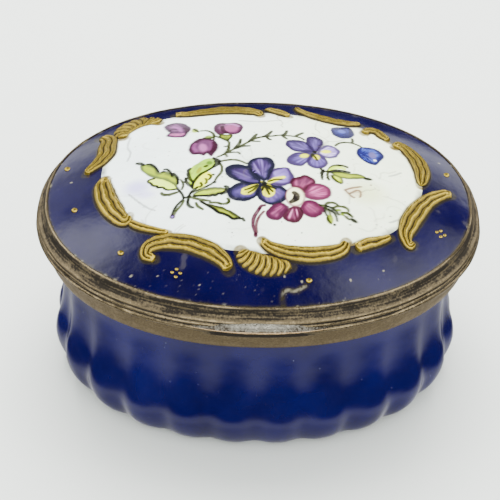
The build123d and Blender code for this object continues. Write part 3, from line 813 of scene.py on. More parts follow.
panel_outline = follow(PANEL_EDGE, 24, closed=True)
GROUND_STEPS = 1080
GROUND_ROWS = 44
heading = np.arange(GROUND_STEPS) * 2 * math.pi / GROUND_STEPS
edge_points, _ = oval(EDGE_INSET, 4000)
inner_reach = reach_at(panel_outline, heading)
outer_reach = reach_at(edge_points, heading)
toward = np.stack([np.cos(heading), np.sin(heading)], 1)
top_rings = []
for share in np.linspace(0, 1, GROUND_ROWS):
    flat = toward * (inner_reach + (outer_reach - inner_reach) * share)[:, None]
    top_rings.append(np.column_stack([flat, dome(flat[:, 0], flat[:, 1])]))
under_rings = [ring - (0, 0, COAT) for ring in (top_rings[-1], top_rings[GROUND_ROWS // 2],
                                                top_rings[0])]
ground_points = np.concatenate(top_rings + under_rings)
gx, gy = ground_points[:, 0], ground_points[:, 1]

# Old damage in the blue, with grime and painted shade along the scrolls: how grey each place is,
# and how brown.
bruise = np.zeros(len(gx))
brown = np.zeros(len(gx))
CRACK = [(3.1, -23.6), (3.0, -22.6), (3.1, -21.9), (3.8, -21.5), (4.6, -21.6), (5.4, -21.3),
         (6.2, -20.8)]
gap, along = away_from(follow(CRACK), gx, gy)
pits = ease(grain(gx, gy, 0.5, 6), -0.2, 0.7)
brown = np.maximum(brown, (1 - ease(gap, 0.15, 0.7)) * (0.55 + 0.4 * pits))
pale_line = (1 - ease(gap, 0.06, 0.30)) * (0.62 - 0.6 * pits) * ease(along, 0.1, 0.5)
bruise = np.maximum(bruise, pale_line)
fleck = grain(gx, gy, 0.36, 11, 2)
front_wear = ease(-gy, 15.5, 19.5) * (1 - ease(np.abs(gx), 20, 26))
bruise += ease(fleck, 1.05, 1.4) * front_wear * 0.22
bruise += ease(grain(gx, gy, 2.4, 17), 0.85, 1.4) * 0.10
rim_gap = np.concatenate([np.repeat((outer_reach - inner_reach)[None], GROUND_ROWS, 0).ravel()
                          * np.repeat(1 - np.linspace(0, 1, GROUND_ROWS), GROUND_STEPS),
                          np.zeros(3 * GROUND_STEPS)])
crust = 1 - ease(rim_gap, 0.12, 0.50)
brown = np.maximum(brown, np.clip(crust * (0.7 + 0.5 * grain(gx, gy, 1.0, 23)), 0, 0.9))
bruise = np.maximum(bruise, crust * ease(grain(gx, gy, 0.9, 24), 0.5, 1.1) * 0.7)
# Grime and painted shade along the foot of each raised scroll.
brown = np.maximum(brown, grime_and_shade_beside_scrolls(gx, gy) * (0.75 + 0.2 * grain(gx, gy, 1.2, 29)))
for place_x, place_y, size in [(-18.0, -18.5, 0.22), (-14.3, -19.0, 0.16), (3.3, -19.6, 0.2),
                               (5.7, -20.2, 0.22), (-27.8, 1.4, 0.18), (27.4, 8.0, 0.2),
                               (-8.4, -20.7, 0.16), (12.5, -19.4, 0.2), (17.2, -17.3, 0.16)]:
    away = np.hypot(gx - place_x, gy - place_y)
    bruise = np.maximum(bruise, (1 - ease(away, size * 0.5, size)) * 0.9)

lid_cobalt, tree, shader = new_finish("lid_cobalt_enamel")
place = add_node(tree, "ShaderNodeTexCoord")
cloud = add_node(tree, "ShaderNodeTexNoise", Vector=place.outputs["Object"], Scale=140.0,
                 Detail=5.0, Roughness=0.6)
depth = two_tone(tree, cloud.outputs["Fac"], 0.30, srgb(4, 1, 34), 0.75, srgb(7, 2, 50))
brown_part = read_layer(tree, "brown")
browned = lay_over(tree, brown_part.outputs["Fac"], depth, srgb(38, 34, 20))
grey_part = read_layer(tree, "bruise")
greyed = lay_over(tree, grey_part.outputs["Fac"], browned, srgb(124, 120, 98))
tree.links.new(greyed, shader.inputs["Base Color"])
patchy_gloss(tree, shader,
             dict(Vector=place.outputs["Object"], Scale=220.0, Detail=5.0, Roughness=0.65),
             dict(From_Min=0.3, From_Max=0.75, To_Min=0.10, To_Max=0.24))
rippled(tree, shader, dict(Vector=place.outputs["Object"], Scale=380.0, Detail=3.0), 0.12)
shader.inputs["IOR"].default_value = 1.55

ground_faces = wrap_rings(top_rings + under_rings, closed_profile=True)
lid_ground = add_piece("lid_blue_coat", ground_points, [face[::-1] for face in ground_faces],
                       lid_cobalt, sharp=60)
set_values(lid_ground, "bruise", np.clip(bruise, 0, 1))
set_values(lid_ground, "brown", np.clip(brown, 0, 1))
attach(lid_ground, "lid")
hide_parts("lid_blue_ground")

# ---------------------------------------------------------------------------------------
# Lid, white panel: white enamel painted with a spray of pansies, buds and leaves. The
# painting is laid stroke by stroke on the panel's own points and fired on as low relief.
# ---------------------------------------------------------------------------------------
PANEL_CELLS = 310
side = np.linspace(-1, 1, PANEL_CELLS + 1)
u, v = (grid.ravel() for grid in np.meshgrid(side, side))
wide = np.abs(u) > np.abs(v)
ring_reach = np.where(wide, u, v)
ratio = np.where(wide, v, u) / np.where(ring_reach == 0, 1, ring_reach)
angle = np.where(wide, math.pi / 4 * ratio, math.pi / 2 - math.pi / 4 * ratio)
px, py = ring_reach * np.cos(angle), ring_reach * np.sin(angle)
stretch = reach_at(panel_outline, np.arctan2(py, px))
px, py = px * stretch, py * stretch

# Colours are mixed as they are seen, from 0 to 1, and made linear at the very end.
paint = np.ones((len(px), 3))
relief = np.zeros(len(px))


def colour_of(colour):
    """A (red, green, blue) from 0 to 255 as an array from 0 to 1."""
    return np.array(colour) / 255


def lay(near, cover, colour, lift=0.0):
    """Cover some of the panel's points with paint, by a share at each point."""
    paint[near] += (colour - paint[near]) * cover[:, None]
    relief[near] += lift * cover


def brush(points, colour, width, opacity=0.97, soft=0.07, lift=0.015):
    """One stroke through points. The width is one number, or one for each end and middle."""
    path = follow(points, 6)
    reach = np.max(width) / 2 + soft
    near = np.flatnonzero(
        (px > path[:, 0].min() - reach) & (px < path[:, 0].max() + reach)
        & (py > path[:, 1].min() - reach) & (py < path[:, 1].max() + reach))
    gap, along = away_from(path, px[near], py[near])
    if np.isscalar(width):
        width = (width * 0.7, width, width * 0.6)
    half = np.interp(along, np.linspace(0, 1, len(width)), width) / 2 * 1.15 + 0.11
    cover = (1 - ease(gap, half - soft, half + soft)) * opacity
    cover *= 0.9 + 0.1 * grain(px[near], py[near], 0.7, 3)
    lay(near, np.clip(cover, 0, 1), colour_of(colour), lift)


def dab(x, y, wide, tall, colour, opacity=0.9, turn=0.0, soft=0.3, lift=0.015):
    """An oval touch of the brush, turned by degrees; soft is a share of its size."""
    cos, sin = math.cos(math.radians(turn)), math.sin(math.radians(turn))
    across = ((px - x) * cos + (py - y) * sin) / (wide / 2)
    upward = (-(px - x) * sin + (py - y) * cos) / (tall / 2)
    away = np.hypot(across, upward)
    near = np.flatnonzero(away < 1 + soft)
    cover = (1 - ease(away[near], 1 - soft, 1 + soft)) * opacity
    lay(near, cover, colour_of(colour), lift)


def petal(outline, heart, deep, pale, rim=None, rim_width=0.35, streaks=0.5, opacity=0.95,
          seed=1, edge_noise=0.12):
    """A filled shape shaded from a deep colour near its heart to a pale one at its tip, or
    the other way, with fine brush streaks that run out from the heart and a darker rim."""
    path = follow(list(outline) + [outline[0]], 6)
    near = np.flatnonzero(
        (px > path[:, 0].min() - 0.5) & (px < path[:, 0].max() + 0.5)
        & (py > path[:, 1].min() - 0.5) & (py < path[:, 1].max() + 0.5))
    x, y = px[near], py[near]
    gap, along = away_from(path, x, y)
    inside = np.zeros(len(near), bool)
    for (ax, ay), (bx, by) in zip(path[:-1], path[1:]):
        crosses = (ay > y) != (by > y)
        rise = by - ay if by != ay else 1e-9
        inside ^= crosses & (x < ax + (y - ay) * (bx - ax) / rise)
    depth_in = np.where(inside, gap, -gap)
    depth_in = depth_in + edge_noise * 0.5 * grain(x, y, 0.9, seed + 30)
    cover = ease(depth_in, -0.26, -0.08) * opacity
    away = np.hypot(x - heart[0], y - heart[1])
    spread = away / max(away[inside].max(), 1e-6) if inside.any() else away
    turn = np.arctan2(y - heart[1], x - heart[0])
    streak = grain(turn * 7.0, away * 0.25, 0.8, seed, 2)
    share = np.clip(spread * 1.1 - 0.05 + streaks * streak * 0.9, 0, 1)[:, None]
    colour = colour_of(deep) * (1 - share) + colour_of(pale) * share
    if rim is not None:
        width = rim_width * (1.5 + 1.0 * grain(x, y, 2.2, seed + 7))
        at_rim = (1 - ease(depth_in, width * 0.3, width * 1.9))[:, None] * 0.96
        colour = colour * (1 - at_rim) + colour_of(rim) * at_rim
    lay(near, np.clip(cover, 0, 1), colour, 0.02)


# The white itself: warm to the right, cool to the left, mottled, with a lilac smudge.
tone = ease(px, -22, 22)[:, None]
paint[:] = colour_of((238, 252, 248)) * (1 - tone) + colour_of((240, 252, 220)) * tone
paint *= 1 + 0.02 * grain(px, py, 6.0, 41)[:, None] + 0.012 * grain(px, py, 1.2, 42)[:, None]
dab(-17.8, -2.8, 3.4, 2.8, (154, 140, 224), 0.55, soft=0.8, lift=0)
dab(-16.5, -4.6, 2.4, 1.4, (186, 178, 240), 0.5, soft=0.8, lift=0)
dab(15.5, -3.6, 5.0, 4.2, (206, 214, 138), 0.5, soft=0.8, lift=0)

INK = (12, 14, 4)
OLIVE = (30, 34, 8)
MOSS = (30, 36, 4)
PALE_LIME = (202, 236, 46)
GREY_GREEN = (30, 34, 14)
NIGHT = (4, 4, 22)
LILAC = (76, 56, 114)
PALE_LILAC = (136, 114, 196)
BLUE_LILAC = (54, 40, 96)
LEMON = (154, 146, 4)
PALE_LEMON = (232, 234, 4)
PINK = (158, 64, 116)
MAROON = (44, 4, 20)
NAVY = (4, 4, 56)
SKY_BLUE = (58, 82, 176)

# Stems of the whole spray.
for line, width, ink in [
        ([(-11, -6), (-11.2, -5.2), (-11.7, -4.3), (-12.3, -3.3), (-13, -2.6), (-14, -1.9),
          (-14.8, -1.4)], 0.25, INK),
        ([(-11, -6), (-10.4, -5.8)], 0.25, INK),
        ([(-6, 1.9), (-5.7, 1.2), (-5.5, 0.3), (-5.7, -0.7), (-6.2, -1.6), (-6.5, -2.4)],
         0.25, OLIVE),
        ([(-6, 2), (-5, 2.3), (-4, 2.45), (-3, 2.2), (-2, 1.5)], 0.3, OLIVE),
        ([(-10, -5), (-8.5, -4.2), (-7.3, -3.4), (-6.8, -2.9)], 0.22, GREY_GREEN),
        ([(0.6, -7.7), (0.1, -7.9), (-0.4, -8.9), (-0.9, -10), (-1.1, -11.2), (-0.9, -12.3),
          (-0.7, -13)], 0.34, MAROON),
        ([(0.5, -8.9), (-0.1, -9.8), (-0.5, -10.8), (-0.6, -11.8), (-0.5, -12.8)], 0.2,
         (70, 34, 40)),
        ([(-8.8, 10.8), (-8, 10.8), (-7.3, 10.3), (-6.9, 9.6), (-6.8, 8.8), (-6.8, 8)],
         0.28, OLIVE),
        ([(-4.8, 7.6), (-4.5, 6.8), (-4.6, 6), (-4.6, 5.3), (-5, 4.3), (-5.3, 3.8),
          (-6.2, 3.2)], 0.3, OLIVE),
        ([(-5.2, 5.9), (-4.8, 5.9)], 0.25, OLIVE),
        ([(-5, 4.1), (-4, 4.35), (-3.2, 4.3), (-2.95, 3.9)], 0.25, GREY_GREEN),
        ([(-5, 3.8), (-4.8, 3.2)], 0.25, OLIVE),
        ([(-6.6, 9), (-6, 8.4)], 0.25, OLIVE),
        ([(-5, 4.2), (-3.9, 5.1), (-3, 5.9), (-2.2, 6.6), (-1.5, 7.3), (-0.8, 8), (0, 8.5),
          (1, 8.8), (2, 9), (3, 9.3), (4, 9.3), (5.3, 9.15), (6.2, 8.8), (6.7, 8.3)],
         0.27, OLIVE),
        ([(-3.7, 5.4), (-3, 6.8), (-2.8, 7.9)], 0.33, GREY_GREEN),
        ([(-3.6, 5.3), (-2.6, 5.9), (-1.5, 6.05)], 0.33, GREY_GREEN),
        ([(-1.5, 7.4), (-0.8, 8.6), (-0.4, 9.5)], 0.35, GREY_GREEN),
        ([(-1.2, 7.4), (0, 7.3)], 0.3, GREY_GREEN),
        ([(0.5, 8.7), (1.3, 9.4), (1.9, 10.5)], 0.35, GREY_GREEN),
        ([(1, 8.8), (1.4, 8.1), (1.7, 7.9)], 0.3, GREY_GREEN),
        ([(3.3, 9.3), (3.9, 9.8), (4.2, 10.8)], 0.35, GREY_GREEN),
        ([(3.5, 9.1), (4.1, 8.3)], 0.3, GREY_GREEN),
        ([(5.4, 9.2), (6.6, 10.4)], 0.35, GREY_GREEN),
        ([(11.4, 7.3), (12, 8.1), (13, 8.6), (14, 8.6), (15, 8.1), (15.5, 7.6)], 0.28, GREY_GREEN),
        ([(14.1, 10), (14.15, 9.3), (14, 8.7)], 0.28, GREY_GREEN)]:
    brush(line, ink, width)

# Left leaves.
petal([(-17.5, 2.2), (-17.3, 1.2), (-16.7, 0.3), (-16.2, -0.3), (-15.5, -0.9), (-14.8, -1.3),
       (-13.8, -1.8), (-12.9, -2.3), (-12.2, -3.1), (-11.9, -2.8), (-12.1, -1.6),
       (-12.7, -0.8), (-13.4, -0.2), (-13.9, 0.2), (-14.8, 0), (-15.2, 0.9), (-15.9, 1.9),
       (-16.6, 2.4)], (-12.4, -2.8), (140, 156, 4), (130, 156, 4), (72, 84, 40), 0.18)
brush([(-18.1, 3), (-17.6, 2.8), (-17.1, 2.4)], INK, 0.5)
brush([(-16.5, 2.5), (-16, 2.3), (-15.4, 1.6), (-14.8, 0.3)], INK, 0.28)
dab(-14.1, 0.2, 0.7, 0.5, INK)
brush([(-14, 0.75), (-13.6, 0.7), (-13.1, 0), (-12.8, -1)], INK, 0.25)
brush([(-12.9, -0.5), (-12.6, -0.4), (-12.1, -1.2), (-11.9, -2), (-11.9, -2.8)], INK, 0.25)
petal([(-15.4, -1.3), (-16.2, -1.7), (-15.8, -2.3), (-15, -3), (-14, -3.5), (-13, -4),
       (-12.3, -3.9), (-12.8, -3), (-13.8, -2.1)], (-12.4, -3.8), (208, 238, 62),
      (216, 240, 86), None, streaks=0.2)
brush([(-15.4, -1.2), (-16.1, -1.4), (-16.3, -1.8), (-15.9, -2.2), (-15.5, -2.8), (-15, -3),
       (-14.8, -3.3), (-14.1, -3.4), (-13.6, -3.9), (-13, -4.1), (-12.2, -4)], INK, 0.22)
brush([(-14.2, -4.6), (-14, -4.9), (-13.3, -5.1), (-12.6, -4.9), (-12, -4.7)], OLIVE, 0.4)
brush([(-11.5, -2), (-11.2, -2.6), (-11.1, -3.3), (-11.3, -4.1)], GREY_GREEN, 0.2)
brush([(-11, -6.2), (-11.8, -7.2), (-12.3, -8.2), (-12.6, -9.2)], INK, 0.22)
brush([(-10.9, -6.5), (-11.3, -7.4), (-12, -8.5), (-12.3, -9.3)], MOSS, 0.2)
dab(-12.5, -9.5, 0.8, 0.8, (30, 12, 34))
dab(-12.5, -9.5, 0.3, 0.3, PALE_LILAC)

# Middle leaf.
petal([(-9.8, -4), (-10.2, -2.4), (-10.3, -0.6), (-9.8, 0.8), (-8.8, 1.8), (-7.9, 2.6),
       (-7.2, 2.6), (-6.7, 1.6), (-6.8, 0.7), (-8, -0.5), (-9.2, -2.2)], (-9.6, -3.6),
      (164, 202, 4), (126, 168, 36), None, streaks=0.3, seed=5)
petal([(-9.6, -3.9), (-9.1, -2.4), (-8.2, -1), (-7.4, -0.6), (-7.1, -1.5), (-7.5, -2.3),
       (-7.8, -3), (-8.5, -3.8), (-9.2, -4.1)], (-9.6, -3.9), (216, 240, 28),
      (236, 240, 14), None, streaks=0.2, seed=6)
brush([(-10.2, 0.5), (-10.5, 0), (-10.4, -1), (-10.1, -2), (-9.7, -2.7)], INK, 0.35)
brush([(-10.8, -1.7), (-10.7, -2.5), (-10.3, -3.2), (-9.8, -3.8)], INK, 0.35)
brush([(-10.3, -5.8), (-10, -5), (-9.5, -4.3), (-9, -3.8)], INK, 0.25)
brush([(-9.8, -4), (-9.7, -3), (-9.3, -2), (-8.7, -1), (-8, -0.4), (-7.3, 0.2),
       (-6.7, 0.8)], INK, 0.25)
brush([(-6.8, 2.9), (-6.3, 2.3), (-6.2, 1.6), (-6.7, 0.8)], INK, (0.3, 0.9, 0.3))
dab(-7.4, 1.7, 0.9, 0.9, (72, 104, 20))
dab(-7.9, 0.95, 0.8, 0.5, OLIVE, turn=30)
dab(-8.9, 0, 0.6, 1.6, (126, 132, 4), turn=-20)
brush([(-7.5, -1), (-7.1, -1.5), (-7.4, -2.2)], OLIVE, 0.2)
brush([(-7.9, -2), (-7.7, -2.6), (-7.9, -3.1)], OLIVE, 0.2)
brush([(-8.6, -2.9), (-8.4, -3.4), (-8.7, -3.8)], OLIVE, 0.2)
dab(-6.8, -1.1, 0.5, 0.5, OLIVE)
dab(-6.6, -2.8, 0.6, 0.6, INK)
dab(-10.2, -5.7, 0.7, 0.6, INK)

# Right leaves of the same group.
petal([(-9.5, -5.3), (-8.3, -4.5), (-7, -4.1), (-5.4, -4.2), (-5, -4.7), (-5.5, -5.2),
       (-6.5, -5.5), (-8, -5.6), (-9.5, -5.6)], (-9.5, -5.5), (146, 172, 4),
      (180, 200, 4), (60, 68, 34), 0.16)
brush([(-9.5, -5.7), (-8, -5.7), (-7.3, -5.8), (-6.9, -5.6), (-6.4, -5.7), (-6, -5.3)], INK, 0.25)
brush([(-5, -3.8), (-4.7, -4.1), (-4.9, -4.9), (-5.6, -5.4)], INK, 0.5)
brush([(-10, -5.9), (-9, -6.3), (-8, -6.6), (-7.2, -6.8)], MOSS, 0.3)
brush([(-7.2, -7.1), (-6.2, -7.2), (-5.3, -7.5), (-4.6, -7.2), (-4.5, -6.7),
       (-4.7, -6.4)], MOSS, 0.3)
petal([(-8.7, -6.7), (-7.5, -7.5), (-6, -8), (-4.5, -8.8), (-3.3, -9.8), (-3, -10.2),
       (-3.9, -10.4), (-4.6, -9.8), (-5.3, -9.4), (-6, -9.1), (-6.7, -8.4), (-7.3, -7.9)],
      (-8.6, -6.8), (122, 134, 4), (140, 154, 4), OLIVE, 0.16)
brush([(-8.5, -6.9), (-7.3, -7.9), (-6.7, -8.4), (-6, -9.1), (-5.3, -9.4), (-4.6, -9.8),
       (-3.9, -10.4), (-3.4, -10.3)], INK, 0.25)
brush([(-3, -10.3), (-2.6, -10.3), (-2.3, -10.7)], INK, 0.3)
brush([(-10.3, -6.2), (-10.4, -7), (-10.1, -7.7), (-9.6, -8)], INK, 0.35)
brush([(-9.2, -7.1), (-8.9, -7.8), (-8.2, -8.4)], MOSS, 0.3)

# Large pansy.
petal([(0, -3.1), (-1, -3.2), (-2.5, -3), (-3.7, -3.6), (-4.5, -4.5), (-4.6, -5.5),
       (-4, -6.4), (-3, -6.8), (-1.8, -6.7), (-0.8, -6), (-0.4, -5.2), (-0.3, -4.2),
       (0, -3.6)], (0, -3.2), (74, 58, 126), BLUE_LILAC, NIGHT, 0.35, seed=21)
petal([(-0.4, -3.5), (-1.3, -3.7), (-2.4, -4.4), (-2.6, -5.3), (-1.8, -5.4),
       (-1, -4.9)], (0, -3.2), LEMON, PALE_LEMON, None, seed=22)
brush([(-0.4, -3.5), (-1.4, -4.2), (-2.2, -4.6)], OLIVE, 0.14)
brush([(-0.3, -3.6), (-1, -4.6), (-1.7, -5.2)], OLIVE, 0.14)
petal([(0.3, -3.3), (-0.2, -4.5), (-0.4, -5.5), (0, -6.5), (0.8, -7.2), (1.8, -7.5),
       (2.8, -7.1), (3.6, -6.3), (3.9, -5.3), (3.7, -4.5), (3, -3.8), (2, -3.6), (1, -3)],
      (0.6, -3.2), (100, 78, 152), (62, 44, 102), NIGHT, 0.35, seed=23)
petal([(0.3, -4), (0.6, -5.5), (1.2, -5.9), (1.9, -5.3), (1.8, -4.2), (1, -3.4)],
      (0.6, -3.2), LEMON, PALE_LEMON, None, seed=24)
for tip in [(1.3, -5.5), (1.8, -4.9), (2.2, -4.3), (0.3, -4.6)]:
    brush([(0.5, -3.3), (0.5 * 0.5 + tip[0] * 0.5 + 0.05, -1.65 + tip[1] * 0.5), tip], INK, 0.16)
petal([(0, -2.9), (-1, -3), (-2.6, -2.8), (-4, -2), (-4.8, -1), (-5, 0), (-4.6, 0.8),
       (-3.7, 1.2), (-2.6, 1.1), (-1.8, 0.6), (-1.2, -0.2), (-0.5, -1.5), (0, -2.5)],
      (0, -2.7), (74, 58, 112), (34, 18, 58), NIGHT, 0.4, streaks=0.8, seed=25)
brush([(-0.5, -2.7), (-1.6, -2.5), (-2.8, -1.8)], LILAC, 0.4, 0.7)
petal([(1.1, -2.5), (1.5, -1.2), (1.8, -0.2), (2.6, 0.4), (3.9, 0.6), (4.3, 0), (4.8, -1.2),
       (4.9, -2), (4.3, -2.9), (3.4, -3.4), (2.4, -3.4), (1.4, -3.1)],
      (1, -2.8), PALE_LILAC, (94, 70, 142), (38, 24, 60), 0.28, seed=26)
brush([(1.3, -2.8), (2.3, -2.1), (3.4, -1.6)], PALE_LEMON, 0.6)
brush([(1.2, -2.7), (2.2, -2.2), (3.2, -2.1)], OLIVE, 0.16)
petal([(0.2, -2.2), (-0.6, -1), (-1.4, 0.3), (-1.7, 1.3), (-1.4, 2.2), (-0.6, 2.8),
       (0.5, 3), (1.3, 2.9), (1.9, 2.2), (2.05, 1.2), (1.8, 0), (1.3, -1.4), (1, -2.2),
       (0.5, -2.4)], (0.5, -2.6), (106, 82, 154), (40, 24, 66), NIGHT, 0.35,
      streaks=0.9, seed=27)
dab(0.5, -2.9, 0.8, 0.8, INK)
dab(0.2, -2.7, 0.3, 0.3, LEMON)

# Pink flower.
petal([(4.6, -3.6), (4.5, -2.6), (5, -1.8), (5.9, -1.4), (6.4, -1), (7, -1.2), (7.7, -1.7),
       (8, -2.5), (7.6, -2.9), (6.9, -3.5), (6.3, -4.8), (5.6, -4)], (5.4, -5.2),
      (150, 62, 106), (78, 28, 56), MAROON, 0.25, streaks=0.8, seed=31)
petal([(6.4, -5.3), (6.9, -4), (7.3, -3.2), (8.2, -2.8), (9.2, -3), (10, -3.6),
       (10.1, -4.5), (9.8, -5.4), (9, -6), (7.8, -6.1), (6.8, -5.9)], (5.8, -5.6),
      (186, 84, 140), (114, 36, 78), (72, 18, 46), 0.25, streaks=0.8, seed=32)
petal([(6.2, -7.2), (6.6, -6.6), (7.6, -6.5), (8.5, -7.2), (9, -8), (8.7, -8.8), (8, -9.4),
       (7.2, -9.6), (6.4, -9.2), (5.9, -8.5), (5.9, -7.8)], (5.8, -6.6), PINK,
      (104, 34, 72), (58, 4, 34), 0.28, streaks=0.8, seed=33)
petal([(5.6, -7.9), (5.95, -8.8), (5.8, -9.8), (5.2, -10.6), (4.5, -10.8), (3.7, -10.5),
       (3.3, -9.8), (3.6, -8.9), (4.2, -8.2), (4.8, -7.9)], (4.9, -6.8), (204, 114, 162),
      (58, 4, 32), MAROON, 0.32, streaks=0.9, seed=34)
petal([(3.9, -7.9), (3, -7.3), (2, -7.6), (1.3, -8.4), (0.9, -9.2), (1.2, -10.1),
       (2, -10.4), (2.7, -10.2), (3.2, -9.3), (3.7, -8.6)], (4.3, -6.9), PINK,
      (92, 32, 66), (52, 4, 32), 0.3, streaks=0.8, seed=35)
dab(5, -5.75, 2.9, 4.2, (96, 50, 60), 0.85, soft=0.12)
dab(5, -5.7, 2.5, 3.7, (240, 240, 188), 1.0, soft=0.12)
brush([(4.9, -5.0), (5.2, -5.4), (5.2, -6.0), (4.9, -6.5), (4.4, -6.9)], (10, 6, 4),
      (0.5, 0.8, 0.4))

# Magenta buds.
petal([(-13.9, 13.9), (-12.9, 14.3), (-11.8, 13.9), (-10.9, 12.8), (-10.5, 11.7),
       (-10.7, 10.8), (-11.2, 9.6), (-11.6, 9.2), (-12.8, 9.4), (-13.9, 10), (-13.4, 11),
       (-13.8, 11.6), (-14.2, 12.6), (-14.3, 13.3)], (-10.6, 11), (52, 16, 48),
      (108, 56, 104), (38, 4, 34), 0.28, streaks=0.9, seed=41)
brush([(-13.2, 10.2), (-12.2, 9.9), (-11.6, 10.1)], (190, 94, 152), 0.6, 0.8)
brush([(-13, 12.9), (-12.2, 12.2), (-11.8, 11)], (164, 90, 158), 0.4, 0.7)
brush([(-11.3, 12.2), (-10.9, 11.4), (-11, 10.4)], (32, 4, 22), 0.5, 0.8)
dab(-13.6, 11.7, 0.6, 0.4, (32, 4, 22))
dab(-9.7, 11, 1.0, 1.4, (148, 174, 48))
brush([(-9.9, 11.6), (-9.5, 11), (-9.2, 10.5)], OLIVE, 0.3)
petal([(-7.2, 3.5), (-6.6, 4.6), (-6.3, 5.6), (-6.3, 6.4), (-6.7, 7.4), (-7.3, 8),
       (-8.2, 8.3), (-9.1, 8.1), (-9.8, 7.4), (-10.3, 6.4), (-10.4, 5.5), (-10.2, 4.6),
       (-9.8, 4.1), (-9, 4.1), (-8.3, 3.8), (-7.8, 4.3)], (-7.8, 8.2), (72, 32, 66),
      (90, 42, 80), (36, 4, 24), 0.3, streaks=0.9, seed=42)
dab(-8.4, 5.7, 1.2, 2.2, (160, 88, 142), 0.85, turn=10)
brush([(-6.8, 7), (-6.7, 5.9), (-7.1, 4.6)], (36, 4, 20), 0.5, 0.85)
brush([(-9.6, 6.8), (-9.8, 5.8), (-9.4, 4.9)], (122, 60, 110), 0.4, 0.8)
dab(-7.6, 8.7, 1.2, 1.0, (100, 122, 30))
brush([(-8.3, 8.5), (-7.6, 8.3), (-6.8, 8.6)], OLIVE, 0.25)
petal([(-6.1, 9.4), (-6.6, 10.5), (-6.7, 11.7), (-6.4, 12.7), (-5.8, 13.2), (-4.8, 13.1),
       (-3.6, 13.2), (-2.8, 12.6), (-2.6, 11.6), (-2.8, 10.5), (-3.4, 9.7), (-4.4, 9.6),
       (-5.1, 9.8)], (-5, 9.4), (72, 32, 62), (96, 44, 82), (42, 4, 30), 0.28,
      streaks=0.8, seed=43)
dab(-4.2, 11.3, 2.2, 2.4, (148, 68, 118), 0.85)
brush([(-5.6, 12), (-5.4, 10.6), (-4.8, 9.9)], (36, 4, 20), 0.45, 0.85)
brush([(-4.9, 12.7), (-3.9, 12.7), (-3.1, 12)], (170, 104, 166), 0.35, 0.7)
petal([(-5.9, 9.5), (-5.9, 8.6), (-5.4, 7.9), (-4.8, 7.6), (-4.3, 8.4), (-4.2, 9.3),
       (-4.9, 9.1)], (-5, 7.8), (72, 92, 14), (142, 150, 4), OLIVE, 0.16, seed=44)

# Small pansy.
petal([(7.9, 4.6), (7, 4.6), (5.6, 4.5), (4.7, 3.8), (4.1, 2.8), (4.2, 2), (4.9, 1.5),
       (5.8, 1.3), (6.6, 1.9), (7.2, 2.8), (7.5, 3.7)], (8, 4.6), (106, 88, 166),
      (58, 44, 98), (40, 28, 64), 0.25, streaks=0.7, seed=51)
dab(6.6, 3.8, 1.4, 1.0, PALE_LEMON, turn=25)
petal([(8.2, 4.6), (7.5, 3.8), (7.2, 2.8), (7.1, 1.9), (7.6, 1.2), (8.5, 0.9), (9.3, 1.3),
       (9.9, 2.2), (9.8, 3.1), (9.3, 3.9), (8.8, 4.4)], (8.2, 4.6), (112, 92, 172),
      (66, 48, 112), (40, 28, 64), 0.25, streaks=0.7, seed=52)
dab(8.4, 3.6, 1.0, 1.3, PALE_LEMON)
petal([(8.2, 5), (7.3, 6.6), (7.1, 7.8), (7.4, 9), (8, 9.3), (8.8, 9.1), (9.4, 8.4),
       (9.4, 7.2), (8.9, 6), (8.4, 5.1)], (8.2, 5), (90, 72, 142), (52, 40, 84),
      (26, 14, 46), 0.26, streaks=0.8, seed=53)
petal([(8, 5), (6.5, 4.9), (5.2, 5.1), (4.3, 6), (4.1, 7), (4.3, 7.7), (5.2, 7.9),
       (6.3, 7.8), (7.1, 7.2), (7.6, 6.2), (8, 5.4)], (8, 5), (100, 82, 154),
      (56, 44, 88), (28, 18, 50), 0.26, streaks=0.8, seed=54)
petal([(8.7, 4.8), (9.2, 6), (9.8, 6.9), (10.6, 7), (11.5, 6.4), (11.9, 5.6), (11.6, 4.8),
       (11, 4), (10.2, 3.7), (9.4, 4), (8.9, 4.5)], (8.4, 4.8), (210, 190, 240),
      (130, 106, 184), (56, 44, 82), 0.22, streaks=0.6, seed=55)
dab(9.9, 5.3, 1.5, 0.9, PALE_LEMON, turn=15)
brush([(7.8, 4.4), (7.7, 4), (7.7, 3.6)], OLIVE, 0.16)
brush([(7.9, 4.4), (8.2, 3.6), (8.5, 2.8)], OLIVE, 0.16)
dab(8.2, 4.9, 0.7, 0.6, INK)

# Blue buds.
petal([(11.1, 12), (11.3, 12.9), (12.2, 13.4), (13.8, 13.8), (14.3, 12.6), (14.3, 11.2),
       (13.6, 10.2), (12.4, 9.9), (11.4, 10.6)], (13.6, 10.4), NAVY, (26, 34, 110),
      (4, 4, 50), 0.36, streaks=0.9, seed=61)
dab(12.6, 12.0, 1.2, 1.3, (80, 94, 180), 0.75)
petal([(15.3, 7.5), (14.7, 6.5), (14.8, 5.2), (15.6, 4), (16.7, 3.4), (17.3, 3.6), (18, 4.8),
       (18.5, 5.9), (18.2, 7), (17.3, 7.8), (16.2, 7.8)], (15.2, 6), (6, 4, 68),
      SKY_BLUE, (4, 4, 54), 0.26, streaks=0.8, seed=62)
dab(16.9, 5.8, 1.2, 1.8, (92, 82, 130), 0.85)
dab(17.2, 4.5, 0.5, 0.5, (240, 240, 240))

